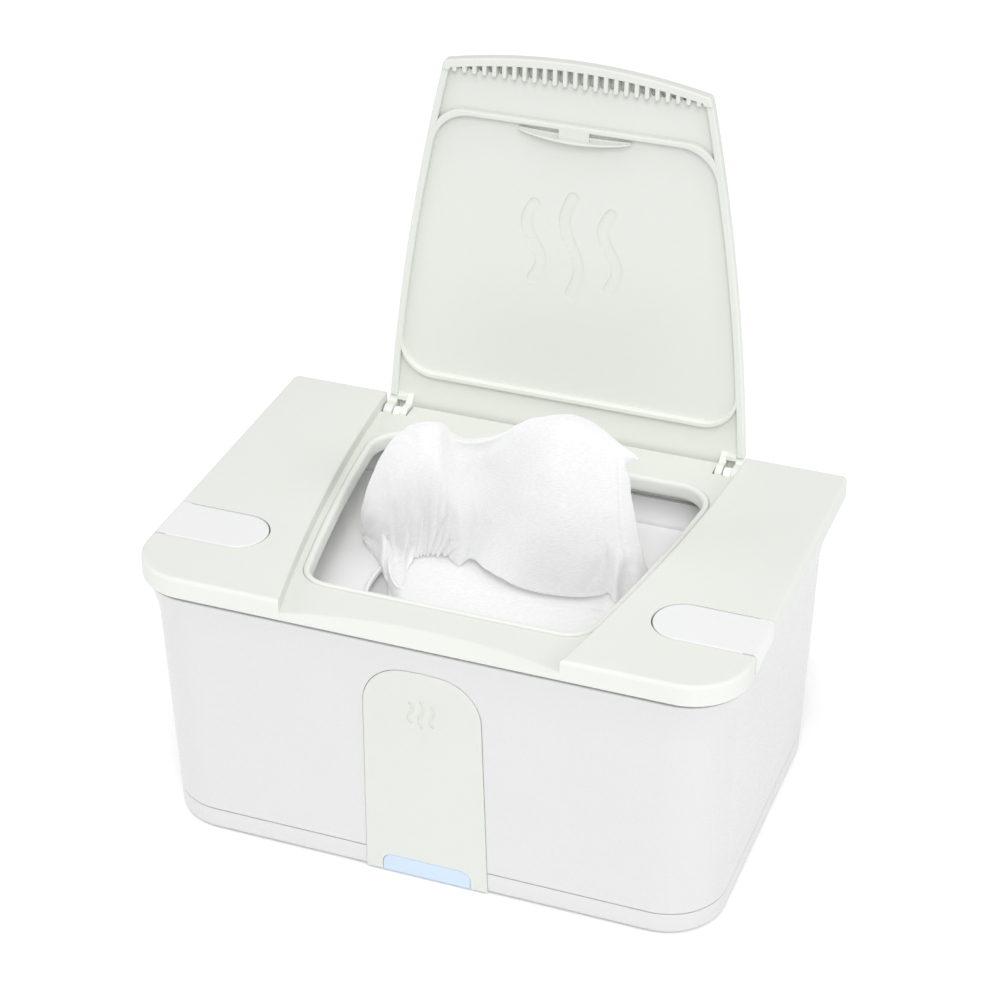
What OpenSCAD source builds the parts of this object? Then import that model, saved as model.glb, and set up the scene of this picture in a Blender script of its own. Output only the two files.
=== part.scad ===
// Baby wipe warmer with a flip lid, a lift-off cover and a heated tub.
// X runs to the right seen from the front, Y to the back, Z up.
// Z = 0 is the surface that the rubber feet stand on.

/* [Housing] */
// Half width of the housing at the foot
foot_hw = 120; // [118:0.1:121.5]
// Half depth of the housing at the foot
foot_hd = 80; // [78:0.1:82]
// Outward lean of the housing's sides, mm per mm of height
side_lean = 0.028; // [0.02:0.001:0.032]
// Outward lean of the housing's front and back, mm per mm of height
front_lean = 0.03; // [0.02:0.001:0.034]
// Radius of the housing's upright corners
corner_r = 25; // [20:0.5:26]
// Top edge of the housing, under the cover's skirt
rim_z = 118.3; // [117.5:0.1:118.5]
// Height at which the top of the housing starts to flare outwards
flare_z = 98; // [94:1:104]
// How far the flare stands out at the rim
flare_d = 3.5; // [1:0.1:3.5]
// Joint between housing and base cover
split_z = 11.3; // [10:0.1:12.5]
// Wall thickness of the housing
wall = 2.4; // [2:0.1:2.8]

/* [Cover] */
// Half width of the cover
cover_hw = 127.4; // [127.2:0.1:128.4]
// Front edge of the cover
cover_front = -86.3; // [-87:0.1:-86]
// Back edge of the cover
cover_back = 84.7; // [84.2:0.1:85.2]
// Underside of the cover's skirt
skirt_z = 119.1; // [118.9:0.1:119.4]
// Top of the two shoulders
shoulder_z = 128.4; // [128:0.1:129.5]
// Floor of the well between the shoulders
well_z = 122.7; // [122.4:0.1:122.9]
// Radius of the cover's two front corners
cover_rf = 24; // [20:1:26]
// Half width of the well at the cover's front
well_front = 58.7; // [57:0.1:60]
// Half width of the well at the cover's back
well_back = 83; // [82:0.1:83.5]
// How far the well's sides bow outwards
well_bow = 3.7; // [2:0.1:5]

/* [Opening] */
// Front edge of the seal round the opening
seal_front = -62.6; // [-63.5:0.1:-61]
// Back edge of the seal round the opening
seal_back = 63.5; // [62:0.1:64.5]
// Top of the seal
seal_z = 123.5; // [123.1:0.1:123.5]
// Width of the seal's top
seal_w = 3; // [2.4:0.1:3.4]

/* [Lid] */
// Height of the hinge axis
hinge_z = 120; // [119.8:0.1:120.2]
// Distance of the hinge axis behind the centre
hinge_y = 80.5; // [80.3:0.1:80.7]
// Angle from closed to open
lid_open = 93.3; // [91:0.1:100]
// Thickness of the lid's plate
lid_t = 2; // [1.8:0.1:2]
// Gap between the lid's sides and the shoulders
lid_gap = 0.8; // [0.6:0.1:1.2]
// Radius of the hinge pins
pin_r = 1.25; // [1:0.05:1.4]
// Pitch of the stiffening ribs along the lid's front edge
rib_pitch = 4.4; // [4:0.1:5]

/* [Latches] */
// Half width of a side latch
latch_hw = 12.5; // [11:0.5:12.5]
// Middle of the side latches, front to back
latch_y = -44.5; // [-46:0.5:-43]
// Distance from the centre to a latch's round end
latch_in = 82.5; // [79:0.5:83]

/* [Tub and wipes] */
// Half width of the tub inside, at its floor
tub_hw = 100.5; // [97:0.5:101]
// Half depth of the tub inside, at its floor
tub_hd = 62.5; // [60:0.5:63]
// Floor of the tub
tub_z = 22; // [22:0.5:24]
// Top of the inner plate
plate_z = 99.5; // [98:0.5:100]
// Half width of the plate's oval opening
oval_hw = 47; // [42:1:50]
// Half depth of the plate's oval opening
oval_hd = 34; // [30:1:36]
// Middle of the oval, in front of the plate's own middle
oval_cy = -16; // [-18:1:-10]

/* [Front] */
// Half width of the front panel at its foot
panel_hw = 26.6; // [25:0.1:28]
// Height of the front panel's arched top
panel_top = 106; // [98:0.5:107]
// Half width of the light window
window_hw = 19.2; // [17:0.1:20]
// Top of the light window
window_top = 9.6; // [8.5:0.1:10]

/* [Hidden] */
$fn = 48;
base_z = 0.8;          // underside of the base cover; the feet stand 0.8 proud
plate_under = shoulder_z - lid_t;
lean_a = atan(front_lean);
latch_x = 104;         // latch pivot
latch_z = 125;
flange_z = 112;        // top of the tub's flange

// ---------- outlines ----------
function unit(v) = v / norm(v);
// points of the arc that rounds corner b of the path a-b-c
function fil(a, b, c, r, n = 7) = r <= 0 ? [b] :
    let (u = unit(a - b), w = unit(c - b), h = acos(u * w) / 2, o = b + unit(u + w) * (r / sin(h)),
         p = b + u * (r / tan(h)) - o, q = b + w * (r / tan(h)) - o,
         s = atan2(p[1], p[0]), d0 = atan2(q[1], q[0]) - s,
         d = d0 > 180 ? d0 - 360 : d0 < -180 ? d0 + 360 : d0)
    [for (i = [0:n]) o + r * [cos(s + d * i / n), sin(s + d * i / n)]];
// rectangle with rounded front (rf) and back (rb) corners
function rrect(hx, yf, yb, rf, rb, n = 7) = concat(
    fil([0, yf], [hx, yf], [hx, 0], rf, n), fil([hx, 0], [hx, yb], [0, yb], rb, n),
    fil([0, yb], [-hx, yb], [-hx, 0], rb, n), fil([-hx, 0], [-hx, yf], [0, yf], rf, n));
// half width of the well at depth y
function wx(y) = let (t = (y + 85) / 170) well_front + (well_back - well_front) * t + 4 * well_bow * t * (1 - t);
function flip(P) = [for (i = [len(P) - 1:-1:0]) [-P[i][0], P[i][1]]];
// closed outline that keeps a distance d inside the well's sides, from yf to yb
function wellside(d, yf, yb, rf, rb, n = 7) =
    let (a = yf + 1.8 * rf + 3, b = yb - 1.8 * rb - 3,
         R = concat(fil([0, yf], [wx(yf) - d, yf], [wx(a) - d, a], rf, n),
                    [for (i = [1:5]) let (y = a + (b - a) * i / 6) [wx(y) - d, y]],
                    fil([wx(b) - d, b], [wx(yb) - d, yb], [0, yb], rb, n)))
    concat(R, flip(R));
// outward flare of the housing near its rim
function flare(z) = z <= flare_z ? 0 : flare_d * pow((z - flare_z) / (rim_z - flare_z), 2);
// ring of the housing at height z, moved outwards by g
function ring(z, g, n = 7) =
    let (hx = foot_hw + side_lean * z + flare(z) + g, hy = foot_hd + front_lean * z + 0.6 * flare(z) + g)
    [for (p = rrect(hx, -hy, hy, corner_r + g, corner_r + g, n)) [p[0], p[1], z]];
function raise(P, z) = [for (p = P) [p[0], p[1], z]];
// oval with flatter sides than an ellipse, for the opening in the plate
function oval_pts(a, b, n = 56) = [for (i = [0:n - 1]) let (c = cos(360 * i / n), s = sin(360 * i / n)) [a * sign(c) * pow(abs(c), 0.8), oval_cy + b * sign(s) * pow(abs(s), 0.8)]];
function ellipse_pts(a, b, cx, cy, n = 48) = [for (i = [0:n - 1]) [cx + a * cos(360 * i / n), cy + b * sin(360 * i / n)]];

// closed solid through a stack of rings with the same number of points
module loft(rings) {
    m = len(rings[0]);
    k = len(rings);
    polyhedron(points = [for (r = rings) each r],
        faces = concat([[for (i = [0:m - 1]) i]], [[for (i = [m - 1:-1:0]) (k - 1) * m + i]],
            [for (j = [0:k - 2], i = [0:m - 1]) [j * m + i, (j + 1) * m + i, (j + 1) * m + (i + 1) % m, j * m + (i + 1) % m]]));
}
// round tube along a path, n sides
module tube(P, r, n = 8) {
    k = len(P);
    loft([for (j = [0:k - 1])
        let (t = unit(j == 0 ? P[1] - P[0] : j == k - 1 ? P[k - 1] - P[k - 2] : unit(P[j + 1] - P[j]) + unit(P[j] - P[j - 1])),
             e = abs(t[0]) < 0.8 ? [1, 0, 0] : [0, 1, 0], u = unit(cross(t, e)), v = cross(t, u))
        [for (i = [0:n - 1]) P[j] - r * cos(360 * i / n) * u + r * sin(360 * i / n) * v]]);
}
// rounds the inner points of a path into short bends
function bend(P, r) = concat([P[0]],
    [for (i = [1:len(P) - 2]) let (a = P[i] + unit(P[i - 1] - P[i]) * r, b = P[i] + unit(P[i + 1] - P[i]) * r)
        each [for (t = [0, 0.33, 0.67, 1]) (1 - t) * (1 - t) * a + 2 * t * (1 - t) * P[i] + t * t * b]], [P[len(P) - 1]]);
// coil spring standing on z = 0
module coil(R, r, h, turns, n = 12) {
    tube([for (i = [0:turns * n]) [R * cos(360 * i / n), R * sin(360 * i / n), r * 1.1 + (h - 2.2 * r) * i / (turns * n)]], r, 6);
}
// moves children to the leaning front face: x to the right, y up the face, z outwards
module on_front() { translate([0, -foot_hd, 0]) rotate([90 + lean_a, 0, 0]) children(); }
// turns the closed lid to its open rest position
module as_open() { translate([0, hinge_y, hinge_z]) rotate([-lid_open, 0, 0]) translate([0, -hinge_y, -hinge_z]) children(); }
module both_sides() { children(); mirror([1, 0, 0]) children(); }
module corners(x, y) { for (sx = [-1, 1], sy = [-1, 1]) translate([sx * x, sy * y, 0]) children(); }

function arch(g, y0) = let (t = 6) concat([[-panel_hw - g, y0], [panel_hw + g, y0]],
    fil([panel_hw + g, y0], [panel_hw - 1.8 + g, panel_top - 1.5 + g], [0, panel_top + g], 19 + g, 10), [[0, panel_top + g]],
    fil([0, panel_top + g], [-panel_hw + 1.8 - g, panel_top - 1.5 + g], [-panel_hw - g, y0], 19 + g, 10));
function window(g, y0) = concat([[-window_hw - g, y0], [window_hw + g, y0]],
    fil([window_hw + g, y0], [window_hw + g, window_top + g], [0, window_top + g], 4.5, 6),
    fil([0, window_top + g], [-window_hw - g, window_top + g], [-window_hw - g, y0], 4.5, 6));

// ---------- housing ----------
module outer_shell() {
    color("white") difference() {
        union() {
            difference() {
                loft([for (q = [[split_z + 0.2, 0], [flare_z, 0], [103, 0], [108, 0], [112, 0], [115, 0], [117.4, 0], [rim_z, -0.7]]) ring(q[0], q[1])]);
                loft([for (q = [[split_z - 1, -wall], [flare_z, -wall], [108, -wall], [114, -wall], [rim_z + 1, -wall]]) ring(q[0], q[1])]);
            }
            // screw bosses, tied to the side walls
            corners(111, 60) difference() {
                translate([0, 0, 3.7]) cylinder(r = 4, h = 26.3);
                translate([0, 0, 3.6]) cylinder(r = 1.52, h = 18);
            }
            for (sx = [-1, 1], sy = [-1, 1]) translate([sx * 116.4 - 3, sy * 60 - 1.2, 14.6]) cube([6, 2.4, 15.4]);
            // ribs that carry the tub's flange
            for (sx = [-1, 1], y = [-18, 10, 40]) translate([sx * 114.1 - 6.9, y - 1, 88]) cube([13.8, 2, flange_z - 2.1 - 88]);
            for (sy = [-1, 1], x = [-66, 66]) translate([x - 1, sy * 75.3 - 6.2, 88]) cube([2, 12.4, flange_z - 2.1 - 88]);
            // posts for the control board
            for (x = [-24, 24], z = [58, 94]) translate([x, -82.2, z]) rotate([-90, 0, 0]) cylinder(r = 3, h = 7.2);
        }
        on_front() translate([0, 0, -1.4]) linear_extrude(6) polygon(arch(0.15, -5));
        for (x = [-24, 24], z = [58, 94]) translate([x, -80.4, z]) rotate([-90, 0, 0]) cylinder(r = 1.22, h = 8);
        // notches for the cover's hinge pockets
        both_sides() translate([68.2, 78, 111.7]) cube([16.4, 12, 11]);
        // hole for the power socket
        translate([70, 70, 22]) rotate([-90, 0, 0]) cylinder(r = 5.1, h = 20);
    }
}
module base_cover() {
    color("white") difference() {
        union() {
            difference() {
                loft([for (q = [[base_z, -2.6], [1.3, -1.3], [2.2, -0.45], [3.6, 0], [split_z - 0.2, 0]]) ring(q[0], q[1])]);
                loft([for (q = [[3.6, -wall], [split_z + 1, -wall]]) ring(q[0], q[1])]);
            }
            // tongue that reaches up inside the housing
            difference() {
                loft([for (z = [3.2, 14]) ring(z, -wall - 0.2)]);
                loft([for (z = [3.1, 14.1]) ring(z, -wall - 1.8)]);
            }
            corners(70, 35) translate([0, 0, 3.4]) cylinder(r = 4, h = 9.9);
            // slots that hold the light board
            for (x = [-24.6, 24.6]) translate([x - 1.4, -75.6, 3.4]) difference() {
                cube([2.8, 5, 8]);
                translate([x > 0 ? -0.1 : 1.3, 1.7, 0.3]) cube([1.6, 1.5, 8]);
            }
        }
        on_front() translate([0, 0, -1.4]) linear_extrude(6) polygon(arch(0.15, -5));
        on_front() translate([0, 0, -5]) linear_extrude(6) polygon(window(0.1, 1.6));
        corners(111, 60) { translate([0, 0, 0.5]) cylinder(r = 3.3, h = 2.1); cylinder(r = 1.7, h = 5); }
        corners(98, 58) translate([0, 0, 0.3]) cylinder(r = 7.1, h = 1.1);
        for (s = [-1, 1], i = [-2:2]) translate([i * 9 - 1, s * 32 - 11, 0]) cube([2, 22, 5]);
    }
}
module front_panel() {
    color("ivory") difference() {
        on_front() translate([0, 0, -1.3]) linear_extrude(1.8) polygon(arch(0, 1.2));
        on_front() translate([0, 0, -3]) linear_extrude(6) polygon(window(0.1, -2));
    }
}
module light_window() {
    color("lightblue") {
        on_front() translate([0, 0, -1.3]) linear_extrude(1.75) polygon(window(0, 1.3));
        on_front() translate([0, 0, -2.9]) linear_extrude(1.7) polygon(window(-0.6, 1.9));
    }
}
module led_board() {
    color("darkgreen") translate([-24.4, -73.8, 3.8]) cube([48.8, 1.2, 7.4]);
    color("white") for (x = [-14, 0, 14]) {
        translate([x - 2, -74.7, 5.2]) cube([4, 0.95, 4]);
        translate([x, -74.6, 7.2]) rotate([90, 0, 0]) cylinder(r = 1.5, h = 1.1, $fn = 24);
    }
}
module control_board() {
    color("darkgreen") difference() {
        translate([-30, -74.9, 50]) cube([60, 1.6, 52]);
        for (x = [-24, 24], z = [58, 94]) translate([x, -76, z]) rotate([-90, 0, 0]) cylinder(r = 1.6, h = 4);
    }
    color("black") {
        translate([-14, -73.35, 70]) cube([12, 1.6, 12]);
        translate([6, -73.35, 76]) cube([5, 1.4, 8]);
        translate([-8, -73.35, 52]) cube([20, 5.2, 9]);
    }
    color("silver") for (x = [8, 20]) translate([x, -73.35, 67]) rotate([-90, 0, 0]) cylinder(r = 2.6, h = 5, $fn = 24);
}
module touch_pad() {
    color("dimgray") translate([0, -74.95, 86]) rotate([90, 0, 0]) cylinder(r = 6, h = 5.0);
}
module board_screws() {
    color("silver") for (x = [-24, 24], z = [58, 94]) translate([x, -73.25, z]) {
        rotate([-90, 0, 0]) cylinder(r = 2.6, h = 1.5, $fn = 24);
        rotate([90, 0, 0]) cylinder(r = 1.2, h = 6.5, $fn = 24);
    }
}
module dc_inlet() {
    color("black") translate([70, 79.9, 22]) rotate([-90, 0, 0]) difference() {
        union() {
            translate([0, 0, -8]) cylinder(r = 5, h = 9.4);
            translate([0, 0, 1.2]) cylinder(r = 6.4, h = 1.2);
            translate([0, 0, -10.5]) cylinder(r = 3.6, h = 3);
        }
        translate([0, 0, -6.5]) cylinder(r = 2.75, h = 10);
    }
    color("silver") translate([70, 73.2, 22]) rotate([-90, 0, 0]) cylinder(r = 1.0, h = 7.6, $fn = 24);
}
module rubber_feet() {
    color("gray") corners(98, 58) translate([0, 0, 0]) cylinder(r = 7, h = 1.4);
}
module base_screws() {
    color("silver") corners(111, 60) difference() {
        union() { translate([0, 0, 0.9]) cylinder(r = 3, h = 1.6); translate([0, 0, 2]) cylinder(r = 1.5, h = 14); }
        for (a = [0, 90]) rotate(a) translate([-1.9, -0.4, 0.5]) cube([3.8, 0.8, 1.2]);
    }
}

// ---------- tub and heater ----------
function tubring(z, g, r) = let (t = 1.5 * (z - tub_z) / 92)
    [for (p = rrect(tub_hw + t + g, -tub_hd - t - g, tub_hd + t + g, r, r)) [p[0], p[1], z]];
module inner_tub() {
    color("darkgray") {
        difference() {
            union() {
                loft([tubring(20, 2, 14), tubring(flange_z - 1, 2, 15)]);
                translate([0, 0, flange_z - 2]) linear_extrude(2) polygon(rrect(118.2, -79.6, 79.6, 17, 17));
            }
            loft([tubring(tub_z, 0, 12), tubring(flange_z + 1, 0, 13)]);
        }
        // ledges that the inner plate rests on
        for (s = [-1, 1]) {
            translate([s * 101.1 - 1.7, -9, plate_z - 5.3]) cube([3.4, 18, 3]);
            for (x = [-60, 60]) translate([x - 8, s * 63.1 - 1.7, plate_z - 5.3]) cube([16, 3.4, 3]);
        }
    }
}
module heater_plate() { color("silver") translate([-90, -50, 18.9]) cube([180, 100, 1.05]); }
module heating_film() { color("orange") translate([-88, -48, 18.4]) cube([176, 96, 0.45]); }
module insulation_pad() {
    color("lightgray") difference() {
        translate([-92, -52, 13.4]) cube([184, 104, 4.95]);
        translate([-40, 0, 12]) cylinder(r = 9.5, h = 8);
        translate([-24, 14, 12]) cube([22, 9, 8]);
    }
}
module thermostat() {
    color("black") translate([-40, 0, 12.9]) cylinder(r = 8, h = 4.2);
    color("silver") translate([-40, 0, 17]) cylinder(r = 8.6, h = 1.35);
    color("silver") for (y = [-4, 4]) translate([-41.5, y - 0.4, 8.5]) cube([3, 0.8, 4.5]);
}
module thermal_fuse() {
    color("silver") translate([-20, 18.5, 16.2]) rotate([0, 90, 0]) cylinder(r = 2.1, h = 12, $fn = 24);
    color("silver") for (x = [-22.8, -8.1]) translate([x, 18.2, 15.9]) cube([2.9, 0.6, 0.6]);
}
module wiring() {
    color("red") {
        tube(bend([[4, -71.5, 51.9], [4, -71.5, 26], [4, -69.5, 9], [-20, -40, 6.5], [-44, -12, 6.5], [-40, -4, 6.5], [-40, -4, 8.45]], 2.2), 1.1);
        tube(bend([[70, 69.3, 22], [70, 66.6, 20], [60, 58, 7.5], [34, 10, 6.5], [30, -50, 6.5], [10, -69.5, 9.5], [9, -71.5, 26], [9, -71.5, 51.9]], 2.6), 1.3);
    }
}
module tub_gasket() {
    color("whitesmoke") translate([0, 0, flange_z + 0.05]) linear_extrude(2.35) difference() {
        polygon(rrect(108.4, -70.4, 70.4, 19, 19));
        polygon(rrect(104.4, -66.4, 66.4, 15, 15));
    }
}

// ---------- wipes and inner plate ----------
module wipe_stack() {
    color("white") translate([0, 0, tub_z + 0.1]) linear_extrude(73.4) polygon(rrect(94, -51, 51, 5, 5, 4));
}
module pulled_wipe() {
    color("white") loft([for (q = [[95.6, 24, 9, -2], [102, 34, 14, -2], [107, 55, 22, -2], [120, 62, 27, -1], [140, 60, 26, 0], [156, 52, 22, 1], [165, 40, 15, 1], [169, 24, 8, 1]])
        raise(ellipse_pts(q[1], q[2], 0, q[3], 28), q[0])]);
}
module inner_plate() {
    color("gainsboro") difference() {
        union() {
            translate([0, 0, plate_z - 2]) linear_extrude(2) polygon(rrect(101, -63, 63, 11.5, 11.5));
            translate([0, 0, plate_z - 0.1]) linear_extrude(1.1) polygon(oval_pts(oval_hw + 1.5, oval_hd + 1.5));
        }
        translate([0, 0, plate_z - 3]) linear_extrude(6) polygon(oval_pts(oval_hw, oval_hd));
    }
}

// ---------- cover ----------
module ring_wall(hx, y0, y1, r, t, z0, z1) {
    translate([0, 0, z0]) linear_extrude(z1 - z0) difference() {
        polygon(rrect(hx, y0, y1, r, r));
        polygon(rrect(hx - t, y0 + t, y1 - t, r - t, r - t));
    }
}
// space over the well, between the shoulders
module well_space(z, g = 0) {
    translate([0, 0, z]) linear_extrude(20) polygon(concat([for (i = [0:12]) let (y = -110 + 220 * i / 12) [wx(y) + g, y]],
        [for (i = [12:-1:0]) let (y = -110 + 220 * i / 12) [-wx(y) - g, y]]));
}
function pill(g) = let (r = latch_hw + g, n = 14) concat([[140, latch_y - r], [140, latch_y + r]],
    [for (i = [0:n]) let (a = 90 + 180 * i / n) [latch_in + latch_hw + r * cos(a), latch_y + r * sin(a)]]);
module top_cover() {
    color("honeydew") difference() {
        union() {
            difference() {
                translate([0, 0, skirt_z]) linear_extrude(shoulder_z - skirt_z) polygon(rrect(cover_hw, cover_front, cover_back, cover_rf, 3));
                // hollow under the shoulders
                difference() {
                    translate([0, 0, skirt_z - 1]) linear_extrude(plate_under - 0.2 - skirt_z + 1) polygon(rrect(cover_hw - 2.6, cover_front + 2.6, cover_back - 2.6, cover_rf - 2.6, 1.5));
                    translate([0, 0, -0.1]) well_space(118, 2.2);
                }
                // hollow under the well
                translate([-120, -74.5, skirt_z - 1]) cube([240, 74.5 + cover_back - 2.6, well_z - 2.4 - skirt_z + 1]);
            }
            // rib that presses on the tub's gasket, rib that sits inside the housing's rim
            ring_wall(107.6, -69.6, 69.6, 18, 2.4, 114.7, 126.4);
            ring_wall(122.3, -81.7, 81.7, 22, 1.6, 114, 122);
            // hinge pockets and latch housings
            both_sides() translate([68.5, 74, 113.3]) cube([15.8, 10.4, 9.4]);
            both_sides() translate([77, latch_y - 15, 120]) cube([47.5, 30, 6.6]);
        }
        well_space(well_z);
        // bevel along the front of the well
        intersection() {
            translate([0, -297.7, 0]) rotate_extrude($fn = 160) polygon([[205, 117.3], [220, well_z], [224, well_z + 1.4], [224, 140], [205, 140]]);
            well_space(112);
        }
        // opening
        translate([0, 0, 110]) linear_extrude(20) polygon(wellside(2.75, seal_front - 0.05, seal_back + 0.05, 14, 17));
        both_sides() {
            translate([70.2, 75.5, 114.9]) cube([12.4, 12, 10]);
            translate([74.25, 76.95, 110]) cube([3.5, 7.6, 8]);
            // latch recess, slot for its arm, notch in the rim rib that the arm swings into, pin holes
            translate([0, 0, 121.6]) linear_extrude(10) polygon(pill(0.55));
            translate([124.5, latch_y - latch_hw - 0.55, 116]) cube([5, 2 * latch_hw + 1.1, 14]);
            translate([118, latch_y - 6, 119]) cube([3.4, 12, 5]);
            translate([118, latch_y - 7, 113]) cube([4.6, 14, 7.4]);
            translate([latch_x, latch_y - 14.7, latch_z]) rotate([-90, 0, 0]) cylinder(r = 1, h = 29.4, $fn = 32);
        }
    }
}
module rim_seal() {
    color("honeydew") difference() {
        union() {
            translate([0, 0, 116.8]) linear_extrude(seal_z - 116.8) polygon(wellside(2.8, seal_front, seal_back, 14, 17));
            translate([0, 0, 118.2]) linear_extrude(2.0) polygon(wellside(1.4, seal_front - 1.4, seal_back + 1.2, 15, 18));
        }
        translate([0, 0, 110]) linear_extrude(20) polygon(wellside(2.8 + seal_w, seal_front + seal_w, seal_back - seal_w, 11, 14));
    }
}
module hinge_lugs() {
    color("white") both_sides() difference() {
        union() {
            translate([74.3, 77, 112.8]) cube([3.4, 7, 7.2]);
            translate([74.3, hinge_y, hinge_z]) rotate([0, 90, 0]) cylinder(r = 3.5, h = 3.4);
            translate([72, 77, 112.3]) cube([8, 7, 0.95]);
        }
        translate([70, hinge_y, hinge_z]) rotate([0, 90, 0]) cylinder(r = pin_r + 0.05, h = 12);
    }
}
module latch_pins() {
    color("silver") both_sides() translate([latch_x, latch_y - 14.6, latch_z]) rotate([-90, 0, 0]) cylinder(r = 1, h = 29.2, $fn = 32);
}
module spring_left() { color("silver") translate([-88, latch_y, 121.65]) coil(3, 0.35, 4.7, 4); }
module spring_right() { color("silver") translate([88, latch_y, 121.65]) coil(3, 0.35, 4.7, 4); }

// ---------- lid ----------
function lid_front(x, g) = -91.6 + g + 6.2 * x * x / (58 * 58);
function lid_edge(g) = let (R = concat([for (i = [0:9]) let (x = (57.6 - g) * i / 9) [x, lid_front(x, g)]],
        [for (i = [0:12]) let (y = -83.5 + 168.2 * i / 12) [wx(y) - lid_gap - g, y]]))
    concat(R, [for (i = [len(R) - 1:-1:1]) [-R[i][0], R[i][1]]]);
// area between the side rims, from y0 to y1
function between(d, y0, y1) = let (R = [for (i = [0:10]) let (y = y0 + (y1 - y0) * i / 10) [wx(y) - d, y]]) concat(R, flip(R));
module lid_ear(x0, x1) {
    translate([x0, hinge_y, hinge_z]) rotate([90, 0, 90]) linear_extrude(x1 - x0) {
        circle(r = 4.5);
        polygon([[-4.5, 0], [-4.5, 3.2], [-8, plate_under - hinge_z + 0.2], [4, plate_under - hinge_z + 0.2], [4.5, 0]]);
    }
}
module flip_lid() {
    rib_z = 123.8;
    color("honeydew") as_open() difference() {
        union() {
            translate([0, 0, plate_under]) linear_extrude(lid_t) polygon(lid_edge(0));
            // rims and sealing rib
            translate([0, 0, rib_z]) linear_extrude(plate_under - rib_z + 0.1) difference() {
                intersection() {
                    polygon(lid_edge(0));
                    translate([-100, -84]) square([200, 157]);
                }
                polygon(wellside(4, -62.2, 59.7, 17, 14));
                difference() {
                    polygon(between(4, -81.6, -44));
                    polygon(wellside(2.6, -64.5, 62.2, 14, 16));
                }
                difference() {
                    polygon(between(4, 44, 74));
                    polygon(wellside(2.6, -64.5, 62.2, 14, 16));
                }
            }
            // band along the free edge and its stiffening ribs
            translate([0, 0, 123]) linear_extrude(plate_under - 122.9) difference() {
                intersection() { polygon(lid_edge(0)); translate([-100, -100]) square([200, 18.4]); }
                intersection() { polygon(lid_edge(3.8)); translate([-100, -100]) square([200, 18.5]); }
            }
            for (i = [-12:12]) translate([i * rib_pitch - 0.95, 0, 123]) linear_extrude(plate_under - 122.9) polygon([
                [0, -81.2], [1.9, -81.2], [1.9, lid_front(i * rib_pitch, 0) + 2], [0, lid_front(i * rib_pitch, 0) + 2]]);
            // latch tongue that hangs over the opening's front lip
            translate([0, 0, rib_z]) linear_extrude(1.4) {
                polygon(concat([for (i = [0:12]) let (x = -24.5 + 49 * i / 12) [x, -59.6 + 2.5 * (1 - x * x / 600)]],
                    [for (i = [12:-1:0]) let (x = -24.5 + 49 * i / 12) [x, -60.6 + 0.4 * (1 - x * x / 600)]]));
                translate([-6.6, -63.6]) square([13.2, 4.1]);
            }
            // its lip, which reaches down inside the seal
            translate([0, 0, rib_z - 1.9]) linear_extrude(2) polygon(concat([for (i = [0:10]) let (x = -17 + 34 * i / 10) [x, -59.6 + 2.5 * (1 - x * x / 600)]],
                [for (i = [10:-1:0]) let (x = -17 + 34 * i / 10) [x, -60.7 + 2.5 * (1 - x * x / 600) + 0.002 * x * x]]));
            both_sides() { lid_ear(70.9, 74); lid_ear(78, 82); }
        }
        translate([-90, hinge_y, hinge_z]) rotate([0, 90, 0]) cylinder(r = pin_r, h = 180);
    }
}
module hinge_pins() {
    color("silver") as_open() both_sides() translate([71.2, hinge_y, hinge_z]) rotate([0, 90, 0]) cylinder(r = pin_r, h = 10.5);
}

// ---------- side latches ----------
module latch() {
    difference() {
        union() {
            intersection() {
                translate([0, 0, plate_under]) linear_extrude(lid_t) polygon(pill(0));
                translate([60, -100, 100]) cube([cover_hw - 60 + 0.1, 100, 40]);
            }
            translate([cover_hw - 2.5, latch_y - latch_hw, skirt_z + 0.1]) cube([2.6, 2 * latch_hw, shoulder_z - skirt_z - 0.1]);
            translate([118.6, latch_y - 5.5, 110]) cube([1.8, 11, plate_under - 109.9]);
            for (y = [-11, 8]) translate([latch_x, latch_y + y, latch_z]) {
                rotate([-90, 0, 0]) cylinder(r = 2.3, h = 3);
                translate([-2.3, 0, 0]) cube([4.6, 3, plate_under - latch_z + 0.1]);
            }
        }
        translate([latch_x, latch_y - 20, latch_z]) rotate([-90, 0, 0]) cylinder(r = 1.05, h = 40, $fn = 32);
    }
}
module latch_left() { color("whitesmoke") mirror([1, 0, 0]) latch(); }
module latch_right() { color("whitesmoke") latch(); }

outer_shell();
base_cover();
front_panel();
light_window();
led_board();
control_board();
touch_pad();
board_screws();
dc_inlet();
inner_tub();
heater_plate();
heating_film();
insulation_pad();
thermostat();
thermal_fuse();
wiring();
tub_gasket();
rubber_feet();
base_screws();
wipe_stack();
pulled_wipe();
inner_plate();
top_cover();
rim_seal();
hinge_lugs();
latch_pins();
spring_left();
spring_right();
flip_lid();
hinge_pins();
latch_left();
latch_right();
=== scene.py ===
import math

import bmesh
import bpy
import numpy as np
from mathutils import Matrix, Vector, noise


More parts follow.
